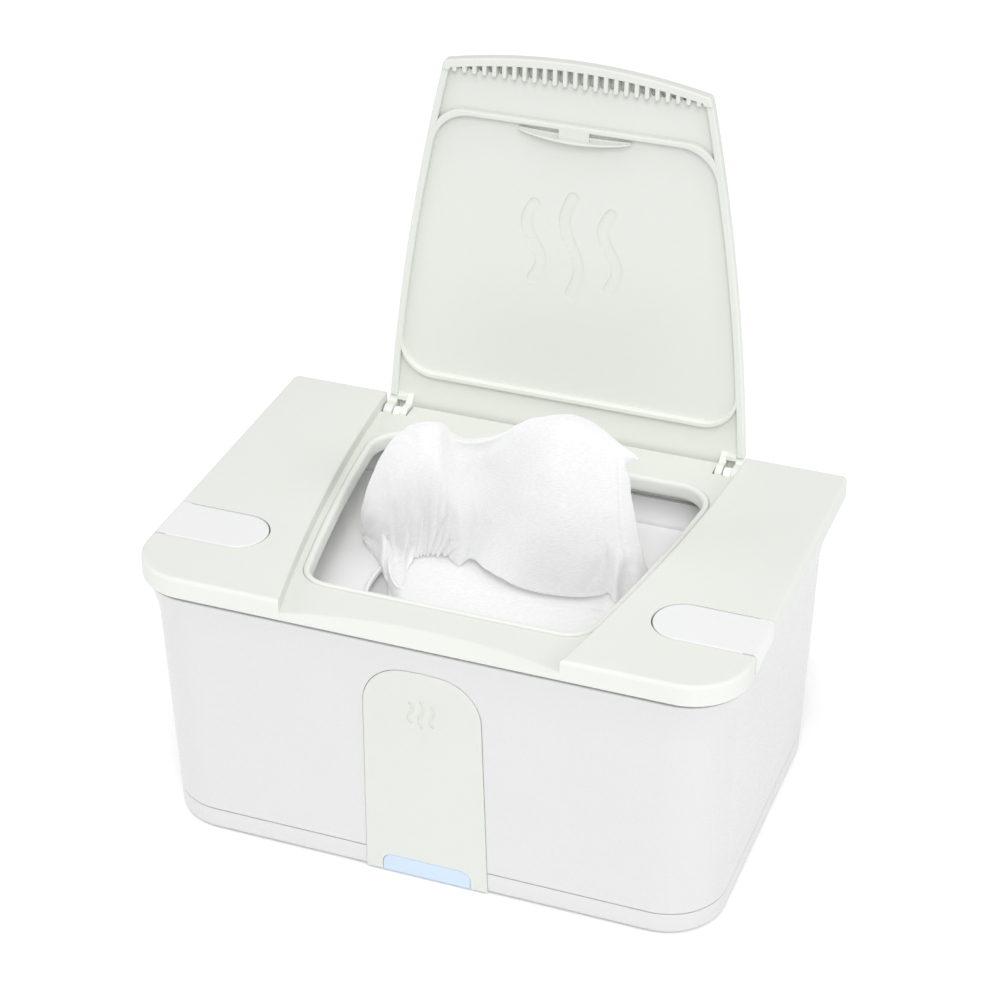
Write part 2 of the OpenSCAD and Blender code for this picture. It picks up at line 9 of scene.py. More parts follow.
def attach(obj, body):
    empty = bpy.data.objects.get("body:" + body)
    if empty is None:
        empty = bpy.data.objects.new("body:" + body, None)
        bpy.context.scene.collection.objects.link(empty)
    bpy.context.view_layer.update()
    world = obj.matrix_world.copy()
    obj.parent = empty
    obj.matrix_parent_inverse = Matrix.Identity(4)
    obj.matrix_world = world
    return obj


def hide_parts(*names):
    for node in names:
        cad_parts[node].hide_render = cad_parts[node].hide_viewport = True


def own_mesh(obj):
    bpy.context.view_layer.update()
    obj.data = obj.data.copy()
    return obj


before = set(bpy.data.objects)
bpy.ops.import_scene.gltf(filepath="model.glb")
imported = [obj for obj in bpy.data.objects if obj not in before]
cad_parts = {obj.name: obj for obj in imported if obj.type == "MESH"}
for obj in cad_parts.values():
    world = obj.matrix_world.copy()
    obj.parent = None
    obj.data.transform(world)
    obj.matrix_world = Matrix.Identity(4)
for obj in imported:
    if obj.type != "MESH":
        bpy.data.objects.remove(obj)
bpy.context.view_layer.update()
scene = bpy.context.scene
MM = 0.001

# ------------------------------------------------------------------ camera
# Lengths below are in millimetres unless they are handed to Blender.
az, el, dist = math.radians(20.46), math.radians(31.5), 1.1157
target = Vector((0, 0.005773, 0.134386))
back = Vector((math.sin(az) * math.cos(el), -math.cos(az) * math.cos(el), math.sin(el)))
cam_data = bpy.data.cameras.new("camera")
cam_data.lens = 97.75
cam_data.sensor_width = 36
cam_data.clip_start, cam_data.clip_end = 0.01, 50
cam = bpy.data.objects.new("camera", cam_data)
scene.collection.objects.link(cam)
cam.location = target + back * dist
cam.rotation_euler = (-back).to_track_quat("-Z", "Y").to_euler()
scene.camera = cam

# ------------------------------------------------------------------ sizes shared with the construction
FOOT_HW, FOOT_HD, SIDE_LEAN, FRONT_LEAN, CORNER_R = 120.0, 80.0, 0.028, 0.03, 25.0
RIM_Z, FLARE_Z, FLARE_D, SPLIT_Z, WALL, BASE_Z = 118.3, 98.0, 3.5, 11.3, 2.4, 0.8
COVER_HW, COVER_FRONT, COVER_BACK, SKIRT_Z, SHOULDER_Z, WELL_Z = 127.4, -86.3, 84.7, 119.1, 128.4, 122.7
SEAL_FRONT, SEAL_BACK, SEAL_Z, SEAL_W = -62.6, 63.5, 123.5, 3.0
HINGE_Y, HINGE_Z, LID_OPEN, LID_T = 80.5, 120.0, 93.3, 2.0
LATCH_HW, LATCH_Y, LATCH_IN = 12.5, -44.5, 82.5
TUB_HW, TUB_HD, TUB_Z, PLATE_Z, OVAL_HW, OVAL_HD, OVAL_CY = 100.5, 62.5, 22.0, 99.5, 47.0, 34.0, -16.0
PANEL_HW, PANEL_TOP, WINDOW_HW, WINDOW_TOP = 26.6, 106.0, 19.2, 9.6
PLATE_UNDER = SHOULDER_Z - LID_T


# ------------------------------------------------------------------ outlines
def unit(v):
    v = np.asarray(v, float)
    return v / np.linalg.norm(v)


def fil(a, b, c, r, n=12):
    """Points of the arc that rounds corner b of the path a-b-c."""
    a, b, c = (np.asarray(q, float) for q in (a, b, c))
    u, w = unit(a - b), unit(c - b)
    h = math.acos(max(-1, min(1, float(u @ w)))) / 2
    o = b + unit(u + w) * (r / math.sin(h))
    p, q = b + u * (r / math.tan(h)) - o, b + w * (r / math.tan(h)) - o
    s = math.atan2(p[1], p[0])
    d = math.atan2(q[1], q[0]) - s
    d = d - 2 * math.pi if d > math.pi else d + 2 * math.pi if d < -math.pi else d
    return [o + r * np.array([math.cos(s + d * i / n), math.sin(s + d * i / n)]) for i in range(n + 1)]


def rrect(hx, yf, yb, rf, rb, n=14):
    return np.array(fil([0, yf], [hx, yf], [hx, 0], rf, n) + fil([hx, 0], [hx, yb], [0, yb], rb, n)
                    + fil([0, yb], [-hx, yb], [-hx, 0], rb, n) + fil([-hx, 0], [-hx, yf], [0, yf], rf, n))


def wx(y):
    t = (y + 85) / 170
    return 58.7 + 24.3 * t + 4 * 3.7 * t * (1 - t)


def both(R):
    """Closes a right-hand half outline, front to back, with its mirror image."""
    R = np.array(R, float)
    L = R[::-1] * [-1, 1]
    P = np.concatenate([R, L])
    keep = [i for i in range(len(P)) if np.linalg.norm(P[i] - P[i - 1]) > 1e-6]
    return P[keep]


def wellside(d, yf, yb, rf, rb, n=14, m=24):
    a, b = yf + 1.8 * rf + 3, yb - 1.8 * rb - 3
    R = (fil([0, yf], [wx(yf) - d, yf], [wx(a) - d, a], rf, n)
         + [np.array([wx(a + (b - a) * i / m) - d, a + (b - a) * i / m]) for i in range(1, m)]
         + fil([wx(b) - d, b], [wx(yb) - d, yb], [0, yb], rb, n))
    return both(R)


def between(d, y0, y1, m=16):
    return both([[wx(y0 + (y1 - y0) * i / m) - d, y0 + (y1 - y0) * i / m] for i in range(m + 1)])


def flare(z):
    return 0 if z <= FLARE_Z else FLARE_D * ((z - FLARE_Z) / (RIM_Z - FLARE_Z)) ** 2


def housing_ring(z, g, n=18):
    hx = FOOT_HW + SIDE_LEAN * z + flare(z) + g
    hy = FOOT_HD + FRONT_LEAN * z + 0.6 * flare(z) + g
    P = rrect(hx, -hy, hy, CORNER_R + g, CORNER_R + g, n)
    return np.column_stack([P, np.full(len(P), z)])


def ellipse(a, b, cx=0.0, cy=0.0, n=96):
    t = np.arange(n) * 2 * math.pi / n
    return np.column_stack([cx + a * np.cos(t), cy + b * np.sin(t)])


def oval(a, b, n=128):
    """Opening of the inner plate: an oval with flatter sides than an ellipse."""
    t = np.arange(n) * 2 * math.pi / n
    c, d = np.cos(t), np.sin(t)
    return np.column_stack([a * np.sign(c) * abs(c) ** 0.8, OVAL_CY + b * np.sign(d) * abs(d) ** 0.8])


def arch(g, y0, n=18):
    R = ([[PANEL_HW + g, y0]] + [list(p) for p in fil([PANEL_HW + g, y0], [PANEL_HW - 1.8 + g, PANEL_TOP - 1.5 + g], [0, PANEL_TOP + g], 19 + g, n)]
         + [[0, PANEL_TOP + g]])
    return both(R)


def window(g, y0, n=8):
    return both([[WINDOW_HW + g, y0]] + [list(p) for p in fil([WINDOW_HW + g, y0], [WINDOW_HW + g, WINDOW_TOP + g], [0, WINDOW_TOP + g], 4.5, n)])


def pill(g, x_out=140.0, n=28):
    r = LATCH_HW + g
    P = [[x_out, LATCH_Y - r], [x_out, LATCH_Y + r]]
    P += [[LATCH_IN + LATCH_HW + r * math.cos(a), LATCH_Y + r * math.sin(a)] for a in np.linspace(math.pi / 2, 1.5 * math.pi, n)]
    return np.array(P)


def shift(P, g):
    """Moves a closed anticlockwise outline outwards by g."""
    P = np.asarray(P, float)
    e = np.roll(P, -1, 0) - P
    e /= np.linalg.norm(e, axis=1)[:, None]
    nrm = np.column_stack([e[:, 1], -e[:, 0]])
    prev = np.roll(nrm, 1, 0)
    k = 1 + (nrm * prev).sum(1)
    return P + g * (nrm + prev) / np.maximum(k, 0.35)[:, None]


# ------------------------------------------------------------------ meshes (millimetres until finish_piece)
def new_object(name, V, F):
    me = bpy.data.meshes.new(name)
    me.from_pydata(np.asarray(V, float).tolist(), [], F)
    me.update()
    o = bpy.data.objects.new(name, me)
    scene.collection.objects.link(o)
    return o


def loft(name, rings, caps=True, wrap=False):
    """Surface through a stack of rings with the same number of points. wrap joins the last ring to the first."""
    k, m = len(rings), len(rings[0])
    F = []
    for j in range(k if wrap else k - 1):
        a, b = j * m, ((j + 1) % k) * m
        F += [(a + i, a + (i + 1) % m, b + (i + 1) % m, b + i) for i in range(m)]
    if caps and not wrap:
        F += [tuple(range(m - 1, -1, -1)), tuple((k - 1) * m + i for i in range(m))]
    o = new_object(name, np.concatenate([np.asarray(r, float) for r in rings]), F)
    bm = bmesh.new()
    bm.from_mesh(o.data)
    bmesh.ops.recalc_face_normals(bm, faces=bm.faces)
    bm.to_mesh(o.data)
    bm.free()
    return o


def levels(z0, z1, r0=0.0, r1=0.0, seg=4):
    """(z, offset) pairs of a wall from z0 to z1 whose edges are rounded by r0 and r1. A negative radius flares, for a cutter."""
    out = []
    if r0 > 0:
        out += [(z0 + r0 * (1 - math.cos(a)), -r0 * (1 - math.sin(a))) for a in np.linspace(0, math.pi / 2, seg + 1)]
    elif r0 < 0:
        f = -r0
        out += [(z0 - 4, f), (z0 - 0.01, f)] + [(z0 + f - f * math.cos(a), f - f * math.sin(a)) for a in np.linspace(0, math.pi / 2, seg + 1)][1:]
    else:
        out += [(z0, 0.0)]
    if r1 > 0:
        out += [(z1 - r1 * (1 - math.cos(a)), -r1 * (1 - math.sin(a))) for a in np.linspace(math.pi / 2, 0, seg + 1)]
    elif r1 < 0:
        f = -r1
        out += [(z1 - f + f * math.sin(a), f - f * math.cos(a)) for a in np.linspace(0, math.pi / 2, seg + 1)][:-1] + [(z1 + 0.01, f), (z1 + 8, f)]
    else:
        out += [(z1, 0.0)]
    return out


def prism(name, P, lv):
    return loft(name, [np.column_stack([shift(P, g), np.full(len(P), z)]) for z, g in lv])


def block(name, x0, x1, y0, y1, z0, z1, r=0.0):
    P = np.array([[x0, y0], [x1, y0], [x1, y1], [x0, y1]], float)
    if r > 0:
        c = P.copy()
        P = np.array([q for i in range(4) for q in fil(c[i - 1], c[i], c[(i + 1) % 4], r * 1.4 + 0.02, 5)])
        return prism(name, P, levels(z0, z1, r, r, 3))
    return prism(name, P, [(z0, 0), (z1, 0)])


def boolean(a, b, op="DIFFERENCE", keep=False):
    m = a.modifiers.new("b", "BOOLEAN")
    m.operation, m.solver, m.object = op, "EXACT", b
    dg = bpy.context.evaluated_depsgraph_get()
    dg.update()
    me = bpy.data.meshes.new_from_object(a.evaluated_get(dg))
    a.modifiers.clear()
    a.data = me
    if not keep:
        bpy.data.objects.remove(b)
    return a


def cut(a, *bs):
    for b in bs:
        boolean(a, b)
    return a


def add(a, *bs):
    for b in bs:
        boolean(a, b, "UNION")
    return a


def mirrored(o, name):
    n = bpy.data.objects.new(name, o.data.copy())
    scene.collection.objects.link(n)
    n.data.transform(Matrix.Scale(-1, 4, (1, 0, 0)))
    n.data.flip_normals()
    return n


def move(o, m):
    o.data.transform(m)
    return o


LEAN = math.atan(FRONT_LEAN)
ON_FRONT = Matrix.Translation((0, -FOOT_HD, 0)) @ Matrix.Rotation(math.pi / 2 + LEAN, 4, "X")
AS_OPEN = (Matrix.Translation((0, HINGE_Y, HINGE_Z)) @ Matrix.Rotation(-math.radians(LID_OPEN), 4, "X")
           @ Matrix.Translation((0, -HINGE_Y, -HINGE_Z)))


def clean(o, dist=0.004):
    bm = bmesh.new()
    bm.from_mesh(o.data)
    bmesh.ops.remove_doubles(bm, verts=bm.verts, dist=dist)
    bmesh.ops.dissolve_degenerate(bm, edges=bm.edges, dist=dist)
    bmesh.ops.recalc_face_normals(bm, faces=bm.faces)
    bm.to_mesh(o.data)
    bm.free()


def finish_piece(o, body, material, *nodes, slot=None, angle=34, weighted=True, scale=True, tidy=True):
    """Millimetres to metres, smooth shading with true edges, material, body and the nodes it stands for."""
    if tidy:
        clean(o)
    if scale:
        o.data.transform(Matrix.Scale(MM, 4))
    o.data.materials.clear()
    o.data.materials.append(material)
    o.data.polygons.foreach_set("material_index", np.zeros(len(o.data.polygons), np.int32))
    o.data.polygons.foreach_set("use_smooth", np.ones(len(o.data.polygons), bool))
    o.data.set_sharp_from_angle(angle=math.radians(angle))
    if weighted:
        m = o.modifiers.new("weighted", "WEIGHTED_NORMAL")
        m.keep_sharp, m.weight, m.mode = True, 80, "FACE_AREA"
    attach(o, body)
    if nodes:
        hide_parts(*nodes)
    return o


# ------------------------------------------------------------------ materials
def srgb(r, g, b):
    def lin(c):
        c /= 255
        return c / 12.92 if c <= 0.04045 else ((c + 0.055) / 1.055) ** 2.4
    return (lin(r), lin(g), lin(b), 1.0)


def plastic(name, colour, rough=0.4, grain=0.12, grain_scale=2600.0, peel=0.05, tint=0.03, coat=0.0, sss=0.0, spec=0.5, edge=True, painted_light_by_height=None):
    """Moulded plastic: a fine spark-eroded grain, a long soft unevenness, faint shade and gloss variation, and
    optionally painted light and shade that changes with height.
    """
    m = bpy.data.materials.new(name)
    m.use_nodes = True
    nt = m.node_tree
    N, L = nt.nodes, nt.links
    b = N["Principled BSDF"]
    tc = N.new("ShaderNodeTexCoord")
    long = N.new("ShaderNodeTexNoise")
    long.inputs["Scale"].default_value = 28.0
    long.inputs["Detail"].default_value = 3.0
    L.new(tc.outputs["Object"], long.inputs["Vector"])
    fine = N.new("ShaderNodeTexNoise")
    fine.inputs["Scale"].default_value = grain_scale
    fine.inputs["Detail"].default_value = 2.0
    L.new(tc.outputs["Object"], fine.inputs["Vector"])
    ramp = N.new("ShaderNodeValToRGB")
    c = colour
    lo = tuple(x * (1 - tint) for x in c[:3]) + (1,)
    hi = tuple(min(1, x * (1 + tint * 0.6)) for x in c[:3]) + (1,)
    ramp.color_ramp.elements[0].position, ramp.color_ramp.elements[0].color = 0.3, lo
    ramp.color_ramp.elements[1].position, ramp.color_ramp.elements[1].color = 0.7, hi
    L.new(long.outputs["Fac"], ramp.inputs["Fac"])
    if painted_light_by_height:                                          # painted light and shade: the base colour is scaled a little from one height to another, standing in for how the light falls
        xyz, mr, sc = N.new("ShaderNodeSeparateXYZ"), N.new("ShaderNodeMapRange"), N.new("ShaderNodeVectorMath")
        L.new(tc.outputs["Object"], xyz.inputs[0])
        mr.inputs["From Min"].default_value, mr.inputs["From Max"].default_value = painted_light_by_height[:2]
        mr.inputs["To Min"].default_value, mr.inputs["To Max"].default_value = painted_light_by_height[2:]
        L.new(xyz.outputs["Z"], mr.inputs["Value"])
        sc.operation = "SCALE"
        L.new(ramp.outputs["Color"], sc.inputs[0])
        L.new(mr.outputs["Result"], sc.inputs["Scale"])
        L.new(sc.outputs["Vector"], b.inputs["Base Color"])
    else:
        L.new(ramp.outputs["Color"], b.inputs["Base Color"])
    rr = N.new("ShaderNodeMapRange")
    rr.inputs["From Min"].default_value, rr.inputs["From Max"].default_value = 0.3, 0.7
    rr.inputs["To Min"].default_value, rr.inputs["To Max"].default_value = rough - 0.04, rough + 0.05
    L.new(fine.outputs["Fac"], rr.inputs["Value"])
    L.new(rr.outputs["Result"], b.inputs["Roughness"])
    b1 = N.new("ShaderNodeBump")
    b1.inputs["Strength"].default_value = peel
    b1.inputs["Distance"].default_value = 0.0006
    L.new(long.outputs["Fac"], b1.inputs["Height"])
    b2 = N.new("ShaderNodeBump")
    b2.inputs["Strength"].default_value = grain
    b2.inputs["Distance"].default_value = 0.00005
    L.new(fine.outputs["Fac"], b2.inputs["Height"])
    L.new(b1.outputs["Normal"], b2.inputs["Normal"])
    L.new(b2.outputs["Normal"], b.inputs["Normal"])
    b.inputs["Specular IOR Level"].default_value = spec
    if coat:
        b.inputs["Coat Weight"].default_value = coat
        b.inputs["Coat Roughness"].default_value = 0.15
    if sss:
        b.inputs["Subsurface Weight"].default_value = sss
        b.inputs["Subsurface Radius"].default_value = (1.0, 0.95, 0.9)
        b.inputs["Subsurface Scale"].default_value = 0.002
    return m


HOUSING = plastic("housing_white", srgb(207, 207, 208), rough=0.30, grain=0.02, peel=0.02, coat=0.15, tint=0.006)
COVER = plastic("cover_white", srgb(215, 218, 212), rough=0.46, grain=0.20, tint=0.008)
# painted light and shade: the open lid is painted brighter low down and darker towards its top
LIDMAT = plastic("lid_white", srgb(214, 217, 211), rough=0.46, grain=0.20, tint=0.008, painted_light_by_height=(0.125, 0.255, 1.10, 0.925))
PANEL = plastic("panel_white", srgb(207, 210, 204), rough=0.42, grain=0.16, tint=0.008)
LATCH = plastic("latch_white", srgb(222, 222, 223), rough=0.34, grain=0.08, coat=0.1, tint=0.006)
SEAL = plastic("seal_silicone", srgb(219, 221, 216), rough=0.5, grain=0.10, sss=0.2, tint=0.01)
LUG = plastic("lug_white", srgb(252, 254, 250), rough=0.3, grain=0.05, sss=0.15)
# painted shade: the tub's wall is painted darker towards its rim
TUB = plastic("tub_grey", srgb(232, 232, 232), rough=0.36, grain=0.12, tint=0.01, painted_light_by_height=(0.101, 0.1145, 1.03, 0.55))
PLATE = plastic("plate_grey", srgb(234, 234, 234), rough=0.36, grain=0.10, tint=0.008)
BLACK = plastic("black_plastic", srgb(34, 34, 36), rough=0.4, grain=0.3, tint=0.15)
RUBBER = plastic("foot_rubber", srgb(176, 178, 180), rough=0.75, grain=0.5, tint=0.08, spec=0.3)
GASKET = plastic("gasket_silicone", srgb(228, 230, 226), rough=0.6, grain=0.2, sss=0.2)


def metal(name, colour, rough=0.3, scratch=900.0):
    m = bpy.data.materials.new(name)
    m.use_nodes = True
    N, L = m.node_tree.nodes, m.node_tree.links
    b = N["Principled BSDF"]
    b.inputs["Metallic"].default_value = 1.0
    tc = N.new("ShaderNodeTexCoord")
    mp = N.new("ShaderNodeMapping")
    mp.inputs["Scale"].default_value = (1, 14, 1)
    no = N.new("ShaderNodeTexNoise")
    no.inputs["Scale"].default_value = scratch
    no.inputs["Detail"].default_value = 3
    L.new(tc.outputs["Object"], mp.inputs["Vector"])
    L.new(mp.outputs["Vector"], no.inputs["Vector"])
    ramp = N.new("ShaderNodeValToRGB")
    ramp.color_ramp.elements[0].color = tuple(x * 0.85 for x in colour[:3]) + (1,)
    ramp.color_ramp.elements[1].color = colour
    L.new(no.outputs["Fac"], ramp.inputs["Fac"])
    L.new(ramp.outputs["Color"], b.inputs["Base Color"])
    rr = N.new("ShaderNodeMapRange")
    rr.inputs["To Min"].default_value, rr.inputs["To Max"].default_value = rough - 0.06, rough + 0.1
    L.new(no.outputs["Fac"], rr.inputs["Value"])
    L.new(rr.outputs["Result"], b.inputs["Roughness"])
    bp = N.new("ShaderNodeBump")
    bp.inputs["Strength"].default_value = 0.08
    bp.inputs["Distance"].default_value = 0.0001
    L.new(no.outputs["Fac"], bp.inputs["Height"])
    L.new(bp.outputs["Normal"], b.inputs["Normal"])
    return m


STEEL = metal("steel", (0.62, 0.62, 0.63, 1), 0.28)
ALUMINIUM = metal("aluminium", (0.80, 0.81, 0.82, 1), 0.34, 500)
FILM = plastic("heater_film", srgb(196, 120, 48), rough=0.4, grain=0.2, tint=0.12)
FOAM = plastic("foam_grey", srgb(150, 152, 154), rough=0.95, grain=1.0, grain_scale=900.0, tint=0.15, spec=0.1)
BOARD = plastic("board_green", srgb(24, 92, 56), rough=0.35, grain=0.3, grain_scale=1500, tint=0.1, coat=0.4)
LEAD = plastic("lead_red", srgb(176, 30, 28), rough=0.45, grain=0.15, tint=0.08)


def window_material():
    m = plastic("window_blue", srgb(190, 205, 224), rough=0.35, grain=0.06, tint=0.02, sss=0.35)
    N, L = m.node_tree.nodes, m.node_tree.links
    b = N["Principled BSDF"]
    tc = N.new("ShaderNodeTexCoord")
    sep = N.new("ShaderNodeSeparateXYZ")
    L.new(tc.outputs["Object"], sep.inputs["Vector"])
    # the three lamps behind the lens: light that fades towards the top edge
    mr = N.new("ShaderNodeMapRange")
    mr.inputs["From Min"].default_value, mr.inputs["From Max"].default_value = 0.001, 0.0096
    mr.inputs["To Min"].default_value, mr.inputs["To Max"].default_value = 0.0, 1.0
    L.new(sep.outputs["Z"], mr.inputs["Value"])
    ramp = N.new("ShaderNodeValToRGB")
    ramp.color_ramp.elements[0].position, ramp.color_ramp.elements[0].color = 0.0, srgb(188, 216, 242)
    ramp.color_ramp.elements[1].position, ramp.color_ramp.elements[1].color = 1.0, srgb(168, 197, 228)
    L.new(mr.outputs["Result"], ramp.inputs["Fac"])
    L.new(ramp.outputs["Color"], b.inputs["Emission Color"])
    b.inputs["Emission Strength"].default_value = 0.06
    return m


WINDOW = window_material()


def wipe_material(name, ribs=1.0, painted_shade=0):
    """Non-woven cloth: fibres, fine cross ribs along the sheet's own V, a soft sheen, some light through it, a painted
    glow of its own colour that lifts its shade, and a painted shade that darkens it by the given number of levels.
    """
    m = bpy.data.materials.new(name)
    m.use_nodes = True
    N, L = m.node_tree.nodes, m.node_tree.links
    b = N["Principled BSDF"]
    uv = N.new("ShaderNodeUVMap")
    uv.uv_map = "sheet"
    warp = N.new("ShaderNodeTexNoise")
    warp.inputs["Scale"].default_value = 40.0
    warp.inputs["Detail"].default_value = 3.0
    L.new(uv.outputs["UV"], warp.inputs["Vector"])
    sc = N.new("ShaderNodeVectorMath")
    sc.operation = "SCALE"
    sc.inputs["Scale"].default_value = 0.0022
    L.new(warp.outputs["Color"], sc.inputs[0])
    ad = N.new("ShaderNodeVectorMath")
    ad.operation = "ADD"
    L.new(uv.outputs["UV"], ad.inputs[0])
    L.new(sc.outputs["Vector"], ad.inputs[1])
    # ribs: one every 0.75 mm of cloth, broken up along their length
    mp = N.new("ShaderNodeMapping")
    mp.inputs["Scale"].default_value = (420.0, 1500.0, 1.0)
    L.new(ad.outputs["Vector"], mp.inputs["Vector"])
    rib = N.new("ShaderNodeTexNoise")
    rib.inputs["Scale"].default_value = 1.0
    rib.inputs["Detail"].default_value = 2.0
    rib.inputs["Roughness"].default_value = 0.6
    L.new(mp.outputs["Vector"], rib.inputs["Vector"])
    fib = N.new("ShaderNodeTexNoise")
    fib.inputs["Scale"].default_value = 2400.0
    fib.inputs["Detail"].default_value = 4.0
    L.new(uv.outputs["UV"], fib.inputs["Vector"])
    ramp = N.new("ShaderNodeValToRGB")
    # painted shade: both ends of the ramp are darkened by the given number of levels
    ramp.color_ramp.elements[0].position, ramp.color_ramp.elements[0].color = 0.25, srgb(208 - painted_shade, 208 - painted_shade, 209 - painted_shade)
    ramp.color_ramp.elements[1].position, ramp.color_ramp.elements[1].color = 0.75, srgb(219 - painted_shade, 219 - painted_shade, 219 - painted_shade)
    L.new(rib.outputs["Fac"], ramp.inputs["Fac"])
    L.new(ramp.outputs["Color"], b.inputs["Base Color"])
    b.inputs["Roughness"].default_value = 0.85
    b.inputs["Specular IOR Level"].default_value = 0.2
    b.inputs["Sheen Weight"].default_value = 0.25
    # painted glow: the cloth's own colour is emitted, lifting the shade in its folds and under it
    L.new(ramp.outputs["Color"], b.inputs["Emission Color"])
    b.inputs["Emission Strength"].default_value = 0.215
    b.inputs["Sheen Roughness"].default_value = 0.5
    b.inputs["Subsurface Weight"].default_value = 0.6
    b.inputs["Subsurface Radius"].default_value = (1, 1, 1)
    b.inputs["Subsurface Scale"].default_value = 0.003
    b1 = N.new("ShaderNodeBump")
    b1.inputs["Strength"].default_value = 0.32 * ribs
    b1.inputs["Distance"].default_value = 0.00035
    L.new(rib.outputs["Fac"], b1.inputs["Height"])
    b2 = N.new("ShaderNodeBump")
    b2.inputs["Strength"].default_value = 0.3
    b2.inputs["Distance"].default_value = 0.0001
    L.new(fib.outputs["Fac"], b2.inputs["Height"])
    L.new(b1.outputs["Normal"], b2.inputs["Normal"])
    L.new(b2.outputs["Normal"], b.inputs["Normal"])
    return m


WIPE = wipe_material("wipe_cloth")
# painted shade: the stack in the tub and the next wipe are copies of the cloth darkened by 34 and 3 levels
STACK = wipe_material("stack_cloth", 0.5, 34)
NEXT = wipe_material("next_cloth", 1.0, 3)

# ------------------------------------------------------------------ housing
z_side = [14, 20, 40, 60, 80, 94, 98, 100, 102, 104, 106, 108, 110, 112, 113.5, 115, 116, 116.7]
lv = [(11.5, -WALL + 0.2), (11.5, -0.45), (11.58, -0.18), (11.8, 0.0), (12.4, 0.0)]
lv += [(z, 0.0) for z in z_side] + [(117.0, -0.08), (117.25, -0.3), (117.38, -0.65), (117.4, -1.1)]
lv += [(117.4, -1.75), (117.3, -2.15), (117.0, -2.4), (116.4, -2.4), (108, -2.4), (60, -2.4), (11.7, -2.4)]
shell = loft("housing_shell", [housing_ring(z, g) for z, g in lv], wrap=True)
arch_cut = [move(prism("cut", arch(0.15, -5), [(-1.4, 0), (-0.25, 0), (-0.02, 0.12), (0.1, 0.3), (5, 0.3)]), ON_FRONT) for _ in range(2)]
cut(shell, arch_cut[0], block("cut", 68.2, 84.6, 78, 95, 111.7, 124), block("cut", -84.6, -68.2, 78, 95, 111.7, 124))
hole = prism("cut", ellipse(5.1, 5.1, n=48), [(-10, 0), (0.6, 0), (0.9, 0.15), (1.2, 0.6), (10, 0.6)])
cut(shell, move(hole, Matrix.Translation((70, 79.6, 22)) @ Matrix.Rotation(-math.pi / 2, 4, "X")))
finish_piece(shell, "housing", HOUSING, "outer_shell", slot="housing_plastic")

lv = [(BASE_Z, -2.9), (0.86, -2.3), (1.05, -1.7), (1.4, -1.1), (1.9, -0.6), (2.6, -0.2), (3.5, 0.0), (7, 0.0), (10.6, 0.0), (10.9, -0.05), (11.05, -0.2), (11.1, -0.45)]
lv += [(11.1, -WALL), (3.8, -WALL), (3.5, -WALL - 0.6)]
tray = loft("base_tray", [housing_ring(z, g) for z, g in lv])
lip = loft("lip", [housing_ring(z, -WALL - 0.2) for z in (3.3, 14)])
cut(lip, loft("lipin", [housing_ring(z, -WALL - 1.8) for z in (3.0, 14.3)]))
add(tray, lip)
cut(tray, arch_cut[1], move(prism("cut", window(0.1, 1.6), [(-5, 0), (1, 0)]), ON_FRONT))
for sx in (-1, 1):
    for sy in (-1, 1):
        cut(tray, prism("cut", ellipse(3.3, 3.3, sx * 111, sy * 60, 48), [(-3, 0.3), (0.79, 0.3), (1.1, 0), (2.6, 0)]))
        cut(tray, prism("cut", ellipse(7.1, 7.1, sx * 98, sy * 58, 64), [(-3, 0.3), (0.79, 0.3), (1.1, 0), (1.4, 0)]))
for s in (-1, 1):
    for i in range(-2, 3):
        P = np.array([q for k, c in enumerate([(i * 9 - 1, s * 32 - 11), (i * 9 + 1, s * 32 - 11), (i * 9 + 1, s * 32 + 11), (i * 9 - 1, s * 32 + 11)])
                      for q in [c]], float)
        c = P.copy()
        P = np.array([q for k in range(4) for q in fil(c[k - 1], c[k], c[(k + 1) % 4], 0.95, 6)])
        cut(tray, prism("cut", P, levels(BASE_Z, 9, -0.3, 0)))
finish_piece(tray, "housing", HOUSING, "base_cover", slot="housing_plastic")

# front panel and its light window
panel = prism("control_panel", arch(0, 1.2), levels(-1.3, 0.5, 0, 0.55, 5))
panel_hole = prism("cut", window(0.1, -3), [(-3, 0), (0.2, 0), (0.42, 0.1), (0.52, 0.3), (4, 0.3)])
cut(panel, panel_hole)


def ribbon(path, w, z0, z1, r, n_end=8):
    """Raised bar with round ends that follows a path in the plane."""
    path = np.asarray(path, float)
    t = np.gradient(path, axis=0)
    t /= np.linalg.norm(t, axis=1)[:, None]
    nrm = np.column_stack([-t[:, 1], t[:, 0]])
    right, left = path - nrm * w / 2, path + nrm * w / 2
    a0, a1 = math.atan2(t[-1][1], t[-1][0]), math.atan2(t[0][1], t[0][0])
    end = [path[-1] + w / 2 * np.array([math.cos(a0 + a), math.sin(a0 + a)]) for a in np.linspace(-math.pi / 2, math.pi / 2, n_end)[1:-1]]
    start = [path[0] + w / 2 * np.array([math.cos(a1 + a), math.sin(a1 + a)]) for a in np.linspace(math.pi / 2, 1.5 * math.pi, n_end)[1:-1]]
    return prism("bar", np.array(list(right) + end + list(left[::-1]) + start), levels(z0, z1, 0, r, 3) if r else [(z0, 0), (z1, 0)])


def wave(cx, cy, h, amp, n=28):
    t = np.linspace(-0.5, 0.5, n)
    return np.column_stack([cx + amp * np.sin(2 * math.pi * t), cy + h * t])


for dx in (-4.6, 0, 4.6):
    groove = ribbon(wave(dx, 86, 12.5 if dx == 0 else 9.5, 0.95), 1.5, 0.22, 2.0, 0)
    cut(panel, groove)
move(panel, ON_FRONT)
finish_piece(panel, "housing", PANEL, "front_panel", slot="cover_plastic")
lens = prism("light_lens", window(0, 1.3), levels(-1.3, 0.45, 0, 0.4, 4))
add(lens, prism("step", window(-0.6, 1.9), [(-2.9, 0), (-1.2, 0)]))
move(lens, ON_FRONT)
finish_piece(lens, "housing", WINDOW, "light_window", slot="window_plastic")

